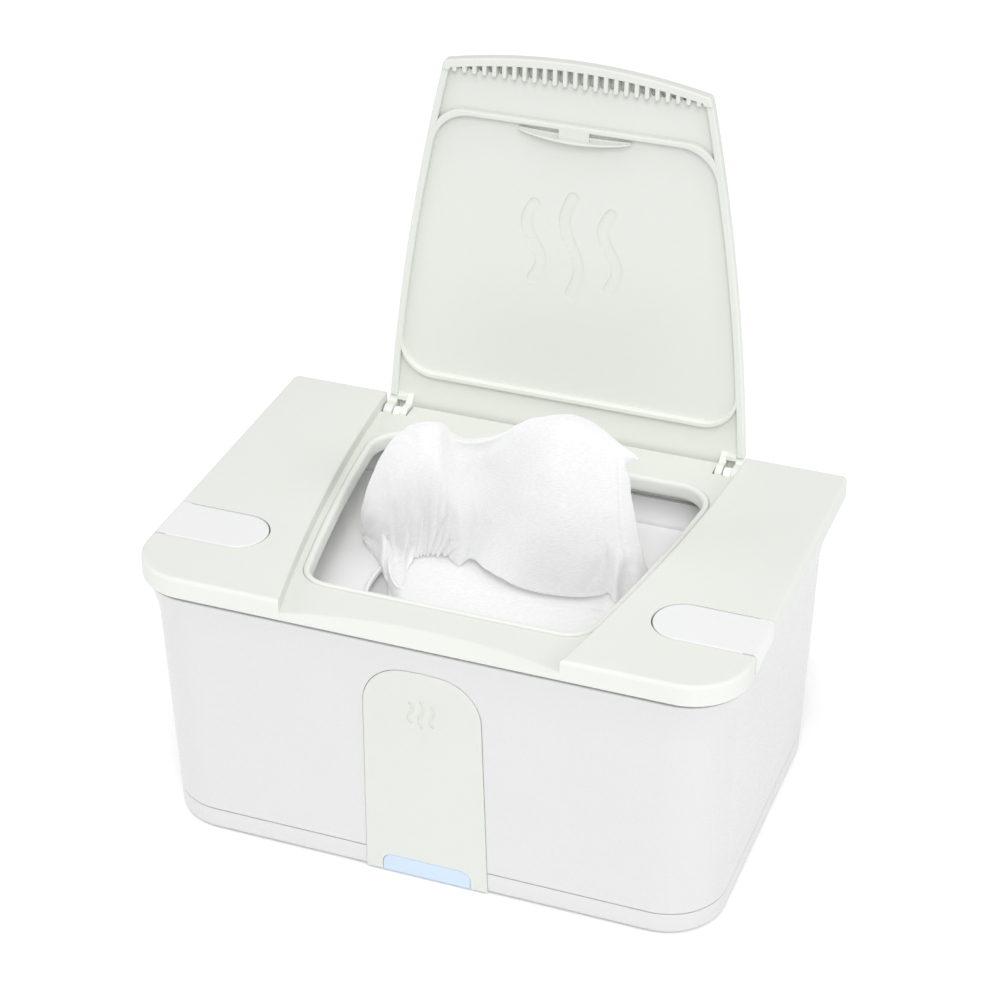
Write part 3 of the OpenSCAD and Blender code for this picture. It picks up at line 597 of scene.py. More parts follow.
# ------------------------------------------------------------------ tub and inner plate
def tub_ring(z, g, r, n=14):
    t = 1.5 * (z - TUB_Z) / 92
    P = rrect(TUB_HW + t + g, -TUB_HD - t - g, TUB_HD + t + g, r, r, n)
    return np.column_stack([P, np.full(len(P), z)])


def flat_ring(P, z):
    return np.column_stack([P, np.full(len(P), z)])


tub = loft("tub", [tub_ring(20.0, 1.2, 14), tub_ring(20.3, 1.75, 14), tub_ring(21, 2, 14), tub_ring(60, 2, 14.5), tub_ring(109.9, 2, 15),
                   flat_ring(rrect(117.8, -79.2, 79.2, 17, 17), 110.0), flat_ring(rrect(118.2, -79.6, 79.6, 17, 17), 110.3),
                   flat_ring(rrect(118.2, -79.6, 79.6, 17, 17), 111.6), flat_ring(rrect(117.8, -79.2, 79.2, 17, 17), 112.0),
                   tub_ring(112.0, 1.0, 14), tub_ring(111.85, 0.4, 13.4), tub_ring(111.3, 0, 13), tub_ring(100, 0, 13), tub_ring(60, 0, 12.5),
                   tub_ring(25.5, 0, 12), tub_ring(23.8, -0.35, 12), tub_ring(22.7, -1.3, 11.5), tub_ring(22.15, -2.7, 11), tub_ring(22.0, -4.2, 10)])
for s in (-1, 1):
    add(tub, block("ledge", min(s * 99.4, s * 103.2), max(s * 99.4, s * 103.2), -9, 9, PLATE_Z - 5.3, PLATE_Z - 2.3, 0.8))
    for x in (-60, 60):
        add(tub, block("ledge", x - 8, x + 8, min(s * 61.4, s * 65.2), max(s * 61.4, s * 65.2), PLATE_Z - 5.3, PLATE_Z - 2.3, 0.8))
finish_piece(tub, "housing", TUB, "inner_tub", slot="tub_plastic")

plate = prism("press_plate", rrect(101, -63, 63, 11.5, 11.5), levels(PLATE_Z - 2, PLATE_Z, 0.5, 0.7))
# raised edge round the oval
lip = prism("lip", oval(OVAL_HW + 1.6, OVAL_HD + 1.6), [(PLATE_Z - 1, 0), (PLATE_Z + 0.3, 0.0), (PLATE_Z + 0.7, -0.08), (PLATE_Z + 0.92, -0.28),
            (PLATE_Z + 1.0, -0.6)])
add(plate, lip)
cut(plate, prism("cut", oval(OVAL_HW, OVAL_HD), [(90, 0.8), (PLATE_Z - 2.01, 0.8), (PLATE_Z - 1.4, 0.2), (PLATE_Z - 0.8, 0), (PLATE_Z + 0.6, 0),
           (PLATE_Z + 0.9, 0.12), (PLATE_Z + 1.01, 0.4), (PLATE_Z + 6, 0.4)]))
finish_piece(plate, "plate", PLATE, "inner_plate", slot="plate_plastic")

# ------------------------------------------------------------------ cover
cover = prism("top_cover_shell", rrect(COVER_HW, COVER_FRONT, COVER_BACK, 24, 3, 18),
              [(SKIRT_Z, -0.35), (SKIRT_Z + 0.1, -0.1), (SKIRT_Z + 0.35, 0), (122, 0), (126.6, 0)]
              + [(SHOULDER_Z - 1.7 * (1 - math.sin(a)), -1.7 * (1 - math.cos(a))) for a in np.linspace(0, math.pi / 2, 7)])


def well_ring(y, g=0.0, top=140.0):
    """Section of the space over the well at depth y: down one side with its rounded shoulder edge, over the floor, up the other."""
    w = wx(y) + g
    side = [(w + 1.1, top), (w + 1.1, SHOULDER_Z + 0.01)]
    side += [(w + 1.1 - 1.1 * math.sin(a), SHOULDER_Z - 1.1 + 1.1 * math.cos(a)) for a in np.linspace(0, math.pi / 2, 6)][1:]
    side += [(w, WELL_Z + 0.6)]
    side += [(w - 0.6 + 0.6 * math.cos(a), WELL_Z + 0.6 - 0.6 * math.sin(a)) for a in np.linspace(0, math.pi / 2, 5)][1:]
    P = side + [(-x, z) for x, z in side[::-1]]
    return np.array([[x, y, z] for x, z in P])


cut(cover, loft("well", [well_ring(y) for y in np.linspace(-100, 110, 54)]))
# bevel along the front of the well: a cone about an upright axis far in front, with a fine rounded upper edge
prof = [(200.0, WELL_Z - 7.2), (219.3, WELL_Z - 0.252), (219.65, WELL_Z - 0.14), (220.05, WELL_Z - 0.05), (220.5, WELL_Z + 0.005), (221.0, WELL_Z + 0.03), (221.0, 140), (200.0, 140)]
bevel = loft("bevel", [np.array([[r * math.sin(t), r * math.cos(t) - 297.7, z] for r, z in prof]) for t in np.linspace(-0.32, 0.32, 161)])
boolean(bevel, prism("bv", both([[wx(y) - 0.03, y] for y in np.linspace(-100, -60, 21)]), [(110, 0), (139, 0)]), "INTERSECT")


def well_under(z0, z1, d=2.2):
    ysu = np.linspace(-110, 110, 40)
    return prism("wu", both([[wx(y) + d, y] for y in ysu]), [(z0, 0), (z1, 0)])


under = prism("under", rrect(COVER_HW - 2.6, COVER_FRONT + 2.6, COVER_BACK - 2.6, 21.4, 1.5), [(SKIRT_Z - 1, 0), (PLATE_UNDER - 0.2, 0)])
cut(under, well_under(110, 135))
cut(cover, under)
cut(cover, block("cut", -120, 120, -74.5, COVER_BACK - 2.6, SKIRT_Z - 1, WELL_Z - 2.4))


def ring_wall(hx, y0, y1, r, t, z0, z1):
    o = prism("rw", rrect(hx, y0, y1, r, r, 12), [(z0, -0.3), (z0 + 0.3, 0), (z1, 0)])
    return boolean(o, prism("rwi", rrect(hx - t, y0 + t, y1 - t, r - t, r - t, 12), [(z0 - 1, 0), (z1 + 1, 0)]))


add(cover, ring_wall(107.6, -69.6, 69.6, 18, 2.4, 114.7, 122.0), ring_wall(122.3, -81.7, 81.7, 22, 1.6, 114, 121.5))
for sx in (-1, 1):
    cut(cover, block("cut", *sorted((sx * 119.2, sx * 122.6)), LATCH_Y - 7, LATCH_Y + 7, 113, 120.4, 0.2))
for s in (-1, 1):
    add(cover, block("bk", min(s * 68.5, s * 84.3), max(s * 68.5, s * 84.3), 74, 84.4, 113.3, 121.9))
    hb = block("bk", min(s * 77, s * 124.5), max(s * 77, s * 124.5), LATCH_Y - 15, LATCH_Y + 15, 120, 127.2)
    add(cover, hb)
cut(cover, bevel)
# the opening, with a fine chamfer round it
cut(cover, prism("cut", wellside(2.75, SEAL_FRONT - 0.05, SEAL_BACK + 0.05, 14, 17), [(105, 0), (WELL_Z - 0.45, 0), (WELL_Z - 0.2, 0.08), (WELL_Z + 0.02, 0.32), (140, 0.32)]))
for s in (-1, 1):
    cut(cover, block("cut", min(s * 70.2, s * 82.6), max(s * 70.2, s * 82.6), 75.5, 90, 114.9, 140))
    P = pill(0.5) * [s, 1]
    P = P if s > 0 else P[::-1]
    cut(cover, prism("cut", P, [(121.6, 0), (SHOULDER_Z - 0.5, 0), (SHOULDER_Z - 0.18, 0.08), (SHOULDER_Z + 0.01, 0.4), (140, 0.4)]))
    cut(cover, block("cut", min(s * 124.5, s * 131), max(s * 124.5, s * 131), LATCH_Y - LATCH_HW - 0.5, LATCH_Y + LATCH_HW + 0.5, 110, 135))
    cut(cover, block("cut", min(s * 118, s * 121.4), max(s * 118, s * 121.4), LATCH_Y - 6, LATCH_Y + 6, 115, 124))
finish_piece(cover, "cover", COVER, "top_cover", slot="cover_plastic")

# seal round the opening: soft lip with a rounded top and a skirt that goes down inside
outer_p = wellside(2.8, SEAL_FRONT, SEAL_BACK, 14, 17)
inner_p = wellside(2.8 + SEAL_W, SEAL_FRONT + SEAL_W, SEAL_BACK - SEAL_W, 11, 14)
prof = [(0.15, 116.85), (0.0, 117.1), (0.0, 118.2), (-0.45, 118.3), (-0.45, 120.1), (0.0, 120.2), (0.0, 122.5), (0.03, 122.9), (0.10, 123.2), (0.2, 123.42), (0.33, 123.5), (0.5, 123.5),
        (0.62, 123.42), (0.76, 123.18), (0.88, 122.75), (0.96, 122.15), (1.0, 121.4), (1.0, 119), (1.0, 117.2), (0.9, 116.85), (0.75, 116.8), (0.35, 116.8)]
seal = loft("opening_seal", [np.column_stack([outer_p + s * (inner_p - outer_p), np.full(len(outer_p), z)]) for s, z in prof], wrap=True)
finish_piece(seal, "cover", SEAL, "rim_seal", slot="seal_silicone", weighted=False, angle=60)


# hinge lugs
def lug_outline(r=3.5, n=20):
    top = [(HINGE_Y + r * math.cos(a), HINGE_Z + r * math.sin(a)) for a in np.linspace(0, math.pi, n)]
    return np.array([(77.0, 112.6), (84.0, 112.6)] + top)


X_OUT = Matrix(((0, 0, 1, 0), (1, 0, 0, 0), (0, 1, 0, 0), (0, 0, 0, 1)))   # outline (y, z) swept along x
lugs = None
for s in (-1, 1):
    x0, x1 = sorted((s * 74.3, s * 77.7))
    lug = move(prism("hinge_lug_set", lug_outline(), levels(x0, x1, 0.5, 0.5, 3)), X_OUT)
    cut(lug, move(prism("cut", ellipse(1.3, 1.3, HINGE_Y, HINGE_Z, 40), [(x0 - 1, 0), (x1 + 1, 0)]), X_OUT))
    add(lug, block("foot", s * 76 - 4, s * 76 + 4, 77, 84, 112.3, 113.25, 0.3))
    lugs = lug if lugs is None else add(lugs, lug)
lugs.name = "hinge_lug_pair"
finish_piece(lugs, "cover", LUG, "hinge_lugs", slot="lug_plastic")


# ------------------------------------------------------------------ lid, modelled closed and turned open
def lid_front(x, g=0.0):
    return -91.6 + g + 6.2 * x * x / (58 * 58)


def lid_edge(g=0.0, y_end=84.7, n=28, m=30, rc=1.6):
    R = [[x, lid_front(x, g)] for x in np.linspace(0, 57.6 - g - rc * 0.9, n)]
    corner = np.array([57.6 - g, lid_front(57.6 - g, g)])
    a, c = R[-1], [wx(-83.5) - 0.8 - g, -83.5 + rc * 0.4]
    R += [list(p) for p in fil(a, corner, c, rc, 6)]
    R += [[wx(y) - 0.8 - g, y] for y in np.linspace(-81.5, y_end, m)]
    return both(R)


RIB_Z = 123.8
lid = prism("lid_panel", lid_edge(0), levels(PLATE_UNDER, SHOULDER_Z, 0.0, 0.9, 5))


def side_rim(s):
    ysr = np.linspace(-83, 73.2, 60)
    rings = []
    for y in ysr:
        xo, xi = wx(y) - 0.8, wx(y) - 3.95
        r = 0.7
        sec = [(xi, PLATE_UNDER + 0.4)]
        sec += [(xi + r * (1 - math.cos(a)), RIB_Z + r * (1 - math.sin(a))) for a in np.linspace(0, math.pi / 2, 5)]
        sec += [(xo - r * (1 - math.sin(a)), RIB_Z + r * (1 - math.cos(a))) for a in np.linspace(0, math.pi / 2, 5)]
        sec += [(xo, PLATE_UNDER + 0.4)]
        rings.append(np.array([[s * x, y, z] for x, z in sec]))
    return loft("rim", rings)


rims = add(side_rim(1), side_rim(-1))
ring_out = wellside(2.6, -64.5, 62.2, 14, 16)
ring_in = wellside(4.0, -62.2, 59.7, 17, 14)
rib = prism("rib", ring_out, [(PLATE_UNDER + 0.4, 0), (RIB_Z + 0.7, 0), (RIB_Z + 0.35, -0.1), (RIB_Z + 0.1, -0.35), (RIB_Z, -0.7)][::-1])
cut(rib, prism("cut", ring_in, [(RIB_Z - 6, 0.55), (RIB_Z - 0.01, 0.55), (RIB_Z + 0.1, 0.25), (RIB_Z + 0.3, 0.06), (RIB_Z + 0.6, 0), (PLATE_UNDER + 2, 0)]))
# the ring's own outside stays inside the rims
keep = prism("keep", between(1.4, -75, 70, 30), [(RIB_Z - 3, 0), (PLATE_UNDER + 3, 0)])
boolean(rib, keep, "INTERSECT")
add(lid, rims, rib)

# band along the free edge, rounded outside, 0.8 proud of the rims, and its comb of ribs
band_out, band_in = lid_edge(0.0), lid_edge(3.6)
band = prism("band", band_out, [(123.0, -0.9), (123.07, -0.55), (123.25, -0.25), (123.55, -0.06), (123.95, 0.0), (PLATE_UNDER + 0.5, 0)])
cut(band, prism("cut", band_in, [(118, 0.4), (122.99, 0.4), (123.12, 0.15), (123.4, 0), (PLATE_UNDER + 2, 0)]))
cut(band, block("cut", -110, 110, -81.7, 110, 110, 140))
add(lid, band)
for i in range(-12, 13):
    x = i * 4.4
    y1 = lid_front(x, 0) + 2.2
    y0 = -81.0
    if y0 - y1 < 1.5:
        continue
    P = np.array([(x - 0.95, y1), (x + 0.95, y1)] + [(x + 0.95 * math.cos(a), y0 - 0.95 + 0.95 * math.sin(a)) for a in np.linspace(0, math.pi, 9)])
    add(lid, prism("tooth", P, [(123.15, -0.35), (123.22, -0.15), (123.45, 0), (PLATE_UNDER + 0.5, 0)]))
# pockets between the ribs, let into the plate
for i in range(-12, 12):
    x = (i + 0.5) * 4.4
    y1, y0 = lid_front(x, 0) + 3.7, -81.8
    if y0 - y1 < 1.2:
        continue
    P = np.array([(x - 1.2, y1), (x + 1.2, y1), (x + 1.2, y0 - 0.9)] + [(x + 1.2 * math.cos(a), y0 - 0.9 + 0.9 * math.sin(a)) for a in np.linspace(0, math.pi, 7)[1:-1]] + [(x - 1.2, y0 - 0.9)])
    cut(lid, prism("pocket", P, [(PLATE_UNDER - 0.6, 0), (PLATE_UNDER + 1.35, 0)]))

# latch tongue: a flat crescent carried by a neck, with a lip along its edge that reaches down inside the seal
def crescent(half, y_edge, y_back, z_low, z_high, r0=0.35, n=49):
    rings = []
    for x in np.linspace(-half, half, n):
        yl, yh = y_edge(x), y_back(x)
        z0, z1 = z_low(x), z_high
        c, hy, hz = ((yl + yh) / 2, (z0 + z1) / 2), (yl - yh) / 2, (z1 - z0) / 2
        r = min(r0, hy * 0.8, hz * 0.8)
        sec = []
        for sx, sy, a0 in ((1, 1, 0), (-1, 1, 90), (-1, -1, 180), (1, -1, 270)):
            sec += [(c[0] + sx * (hy - r) + r * math.cos(math.radians(a0 + t)), c[1] + sy * (hz - r) + r * math.sin(math.radians(a0 + t))) for t in (0, 30, 60, 90)]
        rings.append(np.array([[x, yy, zz] for yy, zz in sec]))
    return loft("crescent", rings)


edge = lambda x: -59.75 + 2.7 * max(0.0, 1 - (x / 24.8) ** 2)
tongue = crescent(24.4, lambda x: edge(x) - 0.25, lambda x: -60.75 + 0.6 * max(0.0, 1 - (x / 24.8) ** 2), lambda x: 124.9, PLATE_UNDER + 0.4)
add(tongue, crescent(24.6, edge, lambda x: edge(x) - 0.55 - 0.55 * max(0.0, 1 - (x / 24.8) ** 2), lambda x: 124.7 - 2.7 * max(0.0, 1 - (x / 24.8) ** 2) ** 0.5, PLATE_UNDER + 0.4))
add(tongue, block("neck", -6.6, 6.6, -63.6, -57.7, RIB_Z + 0.02, PLATE_UNDER + 0.4, 0.25))
add(lid, tongue)

# ears that clasp the lugs
def ear(x0, x1):
    pts = [(HINGE_Y + 4.5 * math.cos(a), HINGE_Z + 4.5 * math.sin(a)) for a in np.linspace(math.pi, 2 * math.pi, 22)]
    pts += [(84.5, PLATE_UNDER + 0.5), (72.5, PLATE_UNDER + 0.5), (72.6, PLATE_UNDER - 0.3), (HINGE_Y - 4.5, HINGE_Z + 3.0)]
    return move(prism("ear", np.array(pts), levels(x0, x1, 0.35, 0.35, 3)), X_OUT)


for s in (-1, 1):
    for a, b in ((70.9, 74.0), (78.0, 82.0)):
        add(lid, ear(*sorted((s * a, s * b))))
    # bridge behind the lug, with the dark slot between it and the lug
    add(lid, block("bridge", *sorted((s * 73.8, s * 78.2)), 72.8, 75.2, HINGE_Z + 3.4, PLATE_UNDER + 0.5, 0.3))
# generic warmth mark, three waves in low relief, in the middle of the lid
for dx, h in ((-17, 34), (0, 44), (17, 34)):
    P = wave(dx, -10, h, 3.4, 40)
    cut(lid, ribbon(P, 5.2, PLATE_UNDER - 2, PLATE_UNDER + 0.36, 0))
move(lid, AS_OPEN)
finish_piece(lid, "lid", LIDMAT, "flip_lid", slot="cover_plastic")


# ------------------------------------------------------------------ side latches
def latch(name, s):
    P = pill(0, x_out=COVER_HW + 0.1)
    o = prism(name, P, [(PLATE_UNDER, 0), (PLATE_UNDER + 0.7, 0), (SHOULDER_Z - 0.75, 0), (SHOULDER_Z - 0.45, -0.06), (SHOULDER_Z - 0.2, -0.2), (SHOULDER_Z - 0.04, -0.5), (SHOULDER_Z, -0.85)])
    # the outer end turns over the cover's edge and runs down the side
    y0, y1 = LATCH_Y - LATCH_HW, LATCH_Y + LATCH_HW
    sec = [(124.9, SKIRT_Z + 0.1), (127.3, SKIRT_Z + 0.1), (127.45, SKIRT_Z + 0.25), (127.5, SKIRT_Z + 0.6), (127.5, 126.6)]
    sec += [(127.5 - 1.7 * (1 - math.cos(a)), SHOULDER_Z - 1.7 * (1 - math.sin(a))) for a in np.linspace(0, math.pi / 2, 8)]
    sec += [(122, SHOULDER_Z), (122, PLATE_UNDER), (124.9, PLATE_UNDER)]
    flap = loft("flap", [np.array([[x, y, z] for x, z in sec]) for y in (y0, y1)])
    # trim the flat end away where the rolled flap takes over
    cut(o, block("cut", 122.01, 140, -80, 0, 100, 140))
    edge = [(y0, 0)]
    add(o, flap)
    # intersect with a box as wide as the flap, whose corners are rounded by only 0.01
    tool = prism("tool", np.array([q for k in range(4) for q in fil(*[np.array(c, float) for c in (
        [(60, y0), (140, y0), (140, y1), (60, y1)][k - 1], [(60, y0), (140, y0), (140, y1), (60, y1)][k], [(60, y0), (140, y0), (140, y1), (60, y1)][(k + 1) % 4])], 0.01, 1)]), [(100, 0), (140, 0)])
    boolean(o, tool, "INTERSECT")
    add(o, block("arm", 118.6, 120.4, LATCH_Y - 5.5, LATCH_Y + 5.5, 110, PLATE_UNDER + 0.4, 0.4))
    for y in (-11, 8):
        eye = [(104 + 2.3 * math.cos(a), 125 + 2.3 * math.sin(a)) for a in np.linspace(math.pi, 2 * math.pi, 14)]
        pts = np.array(eye + [(106.3, PLATE_UNDER + 0.3), (101.7, PLATE_UNDER + 0.3)])
        e = prism("eye", pts, [(0, 0), (3, 0)])
        e.data.transform(Matrix(((1, 0, 0, 0), (0, 0, 1, LATCH_Y + y), (0, 1, 0, 0), (0, 0, 0, 1))))
        e.data.flip_normals()
        add(o, e)
    if s < 0:
        o.data.transform(Matrix.Scale(-1, 4, (1, 0, 0)))
        o.data.flip_normals()
    return o


finish_piece(latch("latch_tab_right", 1), "right_latch", LATCH, "latch_right", slot="latch_plastic")
finish_piece(latch("latch_tab_left", -1), "left_latch", LATCH, "latch_left", slot="latch_plastic")

# ------------------------------------------------------------------ latch springs
def spring(name, x0, r=3.0, w=0.35, h=4.7, turns=4, n=28):
    rings = []
    for i in range(turns * n + 1):
        a = 2 * math.pi * i / n
        c = np.array([x0 + r * math.cos(a), LATCH_Y + r * math.sin(a), 121.65 + w * 1.1 + (h - 2.2 * w) * i / (turns * n)])
        e = np.array([math.cos(a), math.sin(a), 0])
        rings.append(np.array([c + w * (math.cos(t) * e + math.sin(t) * np.array([0, 0, 1])) for t in np.linspace(0, 2 * math.pi, 10, endpoint=False)]))
    return loft(name, rings)


for side, x0 in (("left", -88), ("right", 88)):
    coil = finish_piece(spring("latch_spring_" + side, x0), "cover", STEEL, "spring_" + side, angle=60, weighted=False, tidy=False)
    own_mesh(coil)

# ------------------------------------------------------------------ wipes
def natural_spline(x, Y, xq):
    """Natural cubic spline through rows Y (n, k) at x, read at xq."""
    x, Y, xq = np.asarray(x, float), np.asarray(Y, float), np.asarray(xq, float)
    n = len(x)
    h = np.diff(x)
    A = np.zeros((n, n))
    B = np.zeros((n, Y.shape[1]))
    A[0, 0] = A[-1, -1] = 1
    for i in range(1, n - 1):
        A[i, i - 1], A[i, i], A[i, i + 1] = h[i - 1], 2 * (h[i - 1] + h[i]), h[i]
        B[i] = 6 * ((Y[i + 1] - Y[i]) / h[i] - (Y[i] - Y[i - 1]) / h[i - 1])
    M = np.linalg.solve(A, B)
    k = np.clip(np.searchsorted(x, xq) - 1, 0, n - 2)
    a, b = (x[k + 1] - xq)[:, None], (xq - x[k])[:, None]
    hk = h[k][:, None]
    return (M[k] * a ** 3 + M[k + 1] * b ** 3) / (6 * hk) + (Y[k] / hk - M[k] * hk / 6) * a + (Y[k + 1] / hk - M[k + 1] * hk / 6) * b


eye = np.array(cam.location) / MM
fwd = -np.array(back)
right = unit(np.cross(fwd, [0, 0, 1]))
up = np.cross(right, fwd)
FOCAL = 1000 * cam_data.lens / cam_data.sensor_width


def at(px, py, y):
    """Point seen at (px, py) of the 1000 x 1000 view and lying in the upright plane at depth y."""
    d = fwd + (px - 500) / FOCAL * right - (py - 500) / FOCAL * up
    return eye + (y - eye[1]) / d[1] * d


def at_z(px, py, z):
    """Point seen at (px, py) and lying at height z."""
    d = fwd + (px - 500) / FOCAL * right - (py - 500) / FOCAL * up
    return eye + (z - eye[2]) / d[2] * d


def smooth(t):
    t = np.clip(t, 0, 1)
    return t * t * (3 - 2 * t)


# the pulled wipe: its ridge runs up the left side, over two lobes with a valley between, to the pointed free corner on the right
LAB = [0, 1, 2, 3, 4, 5, 6, 7, 7.6, 8.1, 8.5, 8.8, 9.2] + list(range(10, 31))     # column labels: the strand at the left has extra columns
RIDGE = [(361.5, 532), (361.5, 520), (363, 507), (365.5, 495), (370, 481), (375.5, 468), (382, 455), (388.5, 445), (394.5, 437.5), (399.5, 433), (404, 430),
         (407.5, 427.8), (411, 426),
         (420, 424), (431, 423.5), (440, 426.5), (447, 434), (456, 439.5), (468, 441.5), (481, 441.2), (494, 438), (506, 432), (519, 424.5),
         (533, 419.5), (548, 416.8), (563, 416), (578, 419), (592, 425.5), (605, 434), (617, 443), (627, 450), (632.5, 454), (636, 456.8), (638.5, 458.6)]
R_DEPTH = [4.5, 4.5, 4.8, 5, 5, 5, 4.6, 4, 3.4, 2.8, 2.4, 2.4, 3.4, 6, 8.8, 10.6, 11.2, 10.4, 8.4, 6.2, 4.4, 2.9, 2, 1.8, 2, 2.6, 3.4, 4.4, 5, 5.5, 6]
# hem at the front: place in the view, and height over the floor
HEM = [(363, 533.5, 106.5), (367, 536.5, 106.6), (371, 539.5, 106.8), (375.5, 542, 107), (380, 545, 107), (385.5, 548.5, 106.6), (389.5, 556, 105.6), (389, 567, 103.4),
       (391, 578, 102.4), (396, 586.5, 101.9), (401.5, 588, 101.9), (405.5, 580, 102.6), (408.5, 567, 104.4),
       (418.5, 557.4, 105.5), (427, 556.6, 105.7), (436, 556.4, 105.8), (445, 557.4, 105.8), (452, 561, 105.2), (459, 565.5, 104.6),
       (465, 561.4, 105.2), (472, 559, 106.2), (482, 566, 106.2), (493, 573.5, 106), (505, 580, 105.6), (518, 586, 105.2), (533, 591, 104.8), (550, 594.5, 104.5),
       (568, 596.5, 104.3), (586, 597, 104.1), (601, 595.5, 103.8), (612, 598.5, 102.6), (622, 601, 102), (636, 599, 102), (650, 590, 102.2)]
BELLY = [0.3, 1.2, 2.6, 4.2, 5.6, 6.8, 7.8, 8.6, 9.4, 9.9, 10, 9.4, 7.6, 3.6, 0.4, -1.2, -1.7, -0.8, 1.4, 4.0, 6.4, 8.4, 9.6, 9.8, 9.2, 8.0, 6.6, 5.0, 3.6, 2.2, 1.0]
NC = len(RIDGE)
ROWS = np.array([0, 0.07, 0.17, 0.3, 0.45, 0.6, 0.75, 0.88, 1.0])
grid = []
for j in range(NC):
    lb = LAB[j]
    (tx, ty), td = RIDGE[j], float(np.interp(lb, np.arange(31), R_DEPTH))
    hx_, hy_, hz_ = HEM[j]
    hd = at_z(hx_, hy_, hz_)[1]
    near = float(np.interp(lb, [4, 10], [at_z(*HEM[4])[1], at_z(*HEM[13])[1]])) if 4 < lb < 10 else hd
    front = []
    for v in ROWS:
        k = (math.sqrt(v * v + 0.0036) - 0.06) / (math.sqrt(1.0036) - 0.06)
        px, py = tx + (hx_ - tx) * k, ty + (hy_ - ty) * k
        if j >= NC - 6:
            px -= (0.6, 2.0, 4.5, 8.0, 11.0, 13.5)[j - NC + 6] * math.sin(math.pi * min(1, v ** 0.45))
        # the edge of the left lobe leans to the right further down
        jj = lb - 3.0 * smooth(v / 0.7) * smooth((lb - 7) / 5) * (1 - smooth((lb - 19) / 6))
        bell = float(np.interp(jj, np.arange(31), BELLY))
        lobe = smooth((lb - 15) / 4)
        shape = (1 - lobe) * math.sin(math.pi * v ** 0.85) + lobe * (1 - abs(2 * v ** 0.78 - 1) ** 2.8)
        if 4 < lb < 10:                                # the strand: as its neighbours down to the gather, then forward over the next wipe
            kk = min(1.0, max(0.0, (py - ty) / (556.0 - ty)))
            shape = (1 - lobe) * math.sin(math.pi * kk ** 0.85)
            over = smooth((py - 541.0) / 30.0)
            lie = float(np.interp(lb, [4, 5, 6, 7, 7.6, 8.1, 8.5, 8.8, 9.2, 10], [106.8, 106.6, 105.9, 104.6, 103.9, 103.6, 103.6, 103.9, 104.9, 105.5]))
            front.append(at(px, py, (td + (near - td) * kk ** 0.9) * (1 - over) + over * at_z(px, py, lie - (lie - hz_) * smooth((py - 552) / 30.0))[1] - bell * shape * (1 - over)))
        else:
            front.append(at(px, py, td + (hd - td) * k ** 0.9 - bell * shape))
    top = front[0]
    # rear layer: at the left its own lower edge shows under the front one, further right it goes down behind
    low = [(362.5, 534.5), (365, 540), (369, 546), (373, 551.5), (377, 557), (380, 562), (383, 567)]
    if j < len(low):
        end = at_z(*low[j], 102.6 if j < 3 else 101.9)
    else:
        t = smooth((lb - 6) / 5.0)
        a_ = at_z(383, 567, 101.9)
        xt = float(np.interp(lb, [6, 10, 16, 22, 27, 30], [-42.5, -31, -8, 17, 34, 40]))
        lim = OVAL_CY + (OVAL_HD - 2) * (1 - (abs(xt) / (OVAL_HW - 1)) ** 2.5) ** 0.4
        end = a_ * (1 - t) + np.array([xt, min(13.0, lim - 1), 101.5]) * t
    bulge = 13.0 * smooth((lb - 5) / 6) * (1 + 0.15 * math.sin(lb * 0.9)) * (1 - 0.6 * smooth((lb - 26) / 4)) + 0.8
    tuck = (0.4, 1.4, 3.0, 5.0, 7.0, 8.5)[j - NC + 6] if j >= NC - 6 else 0.0       # the free corner hangs out over the layer behind
    rear = []
    for w in list(ROWS[1:]):
        k = (math.sqrt(w * w + 0.0036) - 0.06) / (math.sqrt(1.0036) - 0.06)
        rear.append(top + (end - top) * k + np.array([-tuck * math.sin(math.pi * min(1.0, w ** 0.45)), bulge * math.sin(math.pi * w ** 0.8), 0]))
    # and on down through the oval to lie on the stack
    e_ = np.array([end[0] * 0.985, end[1], 0])
    back_ = smooth((lb - 5) / 5.0)
    for fwd_, z_ in ((0.4, 99.6), (0.9, 98.0), (2.6, 96.75), (8.0, 96.4), (20.0, 96.35), (34.0, 96.35)):
        rear.append(np.array([e_[0] * (1 - 0.002 * fwd_) + (1 - back_) * 0.25 * fwd_, e_[1] - fwd_ * (0.25 + 0.75 * back_), z_]))
    grid.append(np.array(front[::-1] + rear))
grid = np.array(grid)                                                            # column, row, xyz
q_ctrl = np.concatenate([-ROWS[::-1], ROWS[1:], [1.05, 1.1, 1.16, 1.26, 1.45, 1.7]])
u_ctrl = np.concatenate([[0], np.cumsum(0.5 * np.linalg.norm(np.diff(grid[:, 8], axis=0), axis=1) + 0.5 * np.linalg.norm(np.diff(grid[:, 4], axis=0), axis=1) + 0.4)])
NU, NV = 400, 430
u_fine = np.linspace(0, u_ctrl[-1], NU)
q_fine = np.concatenate([np.linspace(-1, 1, 370), np.linspace(1, 1.7, 61)[1:]])
NV = len(q_fine)
tmp = natural_spline(u_ctrl, grid.reshape(NC, -1), u_fine).reshape(NU, len(q_ctrl), 3)
S = natural_spline(q_ctrl, tmp.transpose(1, 0, 2).reshape(len(q_ctrl), -1), q_fine).reshape(NV, NU, 3).transpose(1, 0, 2)
du, dq = np.gradient(S, axis=0), np.gradient(S, axis=1)
NRM = np.cross(du, dq)
NRM /= np.linalg.norm(NRM, axis=2)[:, :, None] + 1e-9
if NRM[NU // 2, NV // 4] @ np.array([0, -1, 0]) < 0:
    NRM = -NRM
COL = np.interp(u_fine, u_ctrl, LAB)[:, None]                          # column number along the ridge
VF = np.clip(-q_fine, -1, 1)[None, :]                                              # 1 at the front hem, 0 at the ridge, less behind
cloud = np.array([[noise.noise(Vector((u / 19.0, q * 4.0, 3.1))) for q in q_fine] for u in u_fine])
cloud2 = np.array([[noise.noise(Vector((u / 6.5, q * 10.0, 8.7))) for q in q_fine] for u in u_fine])
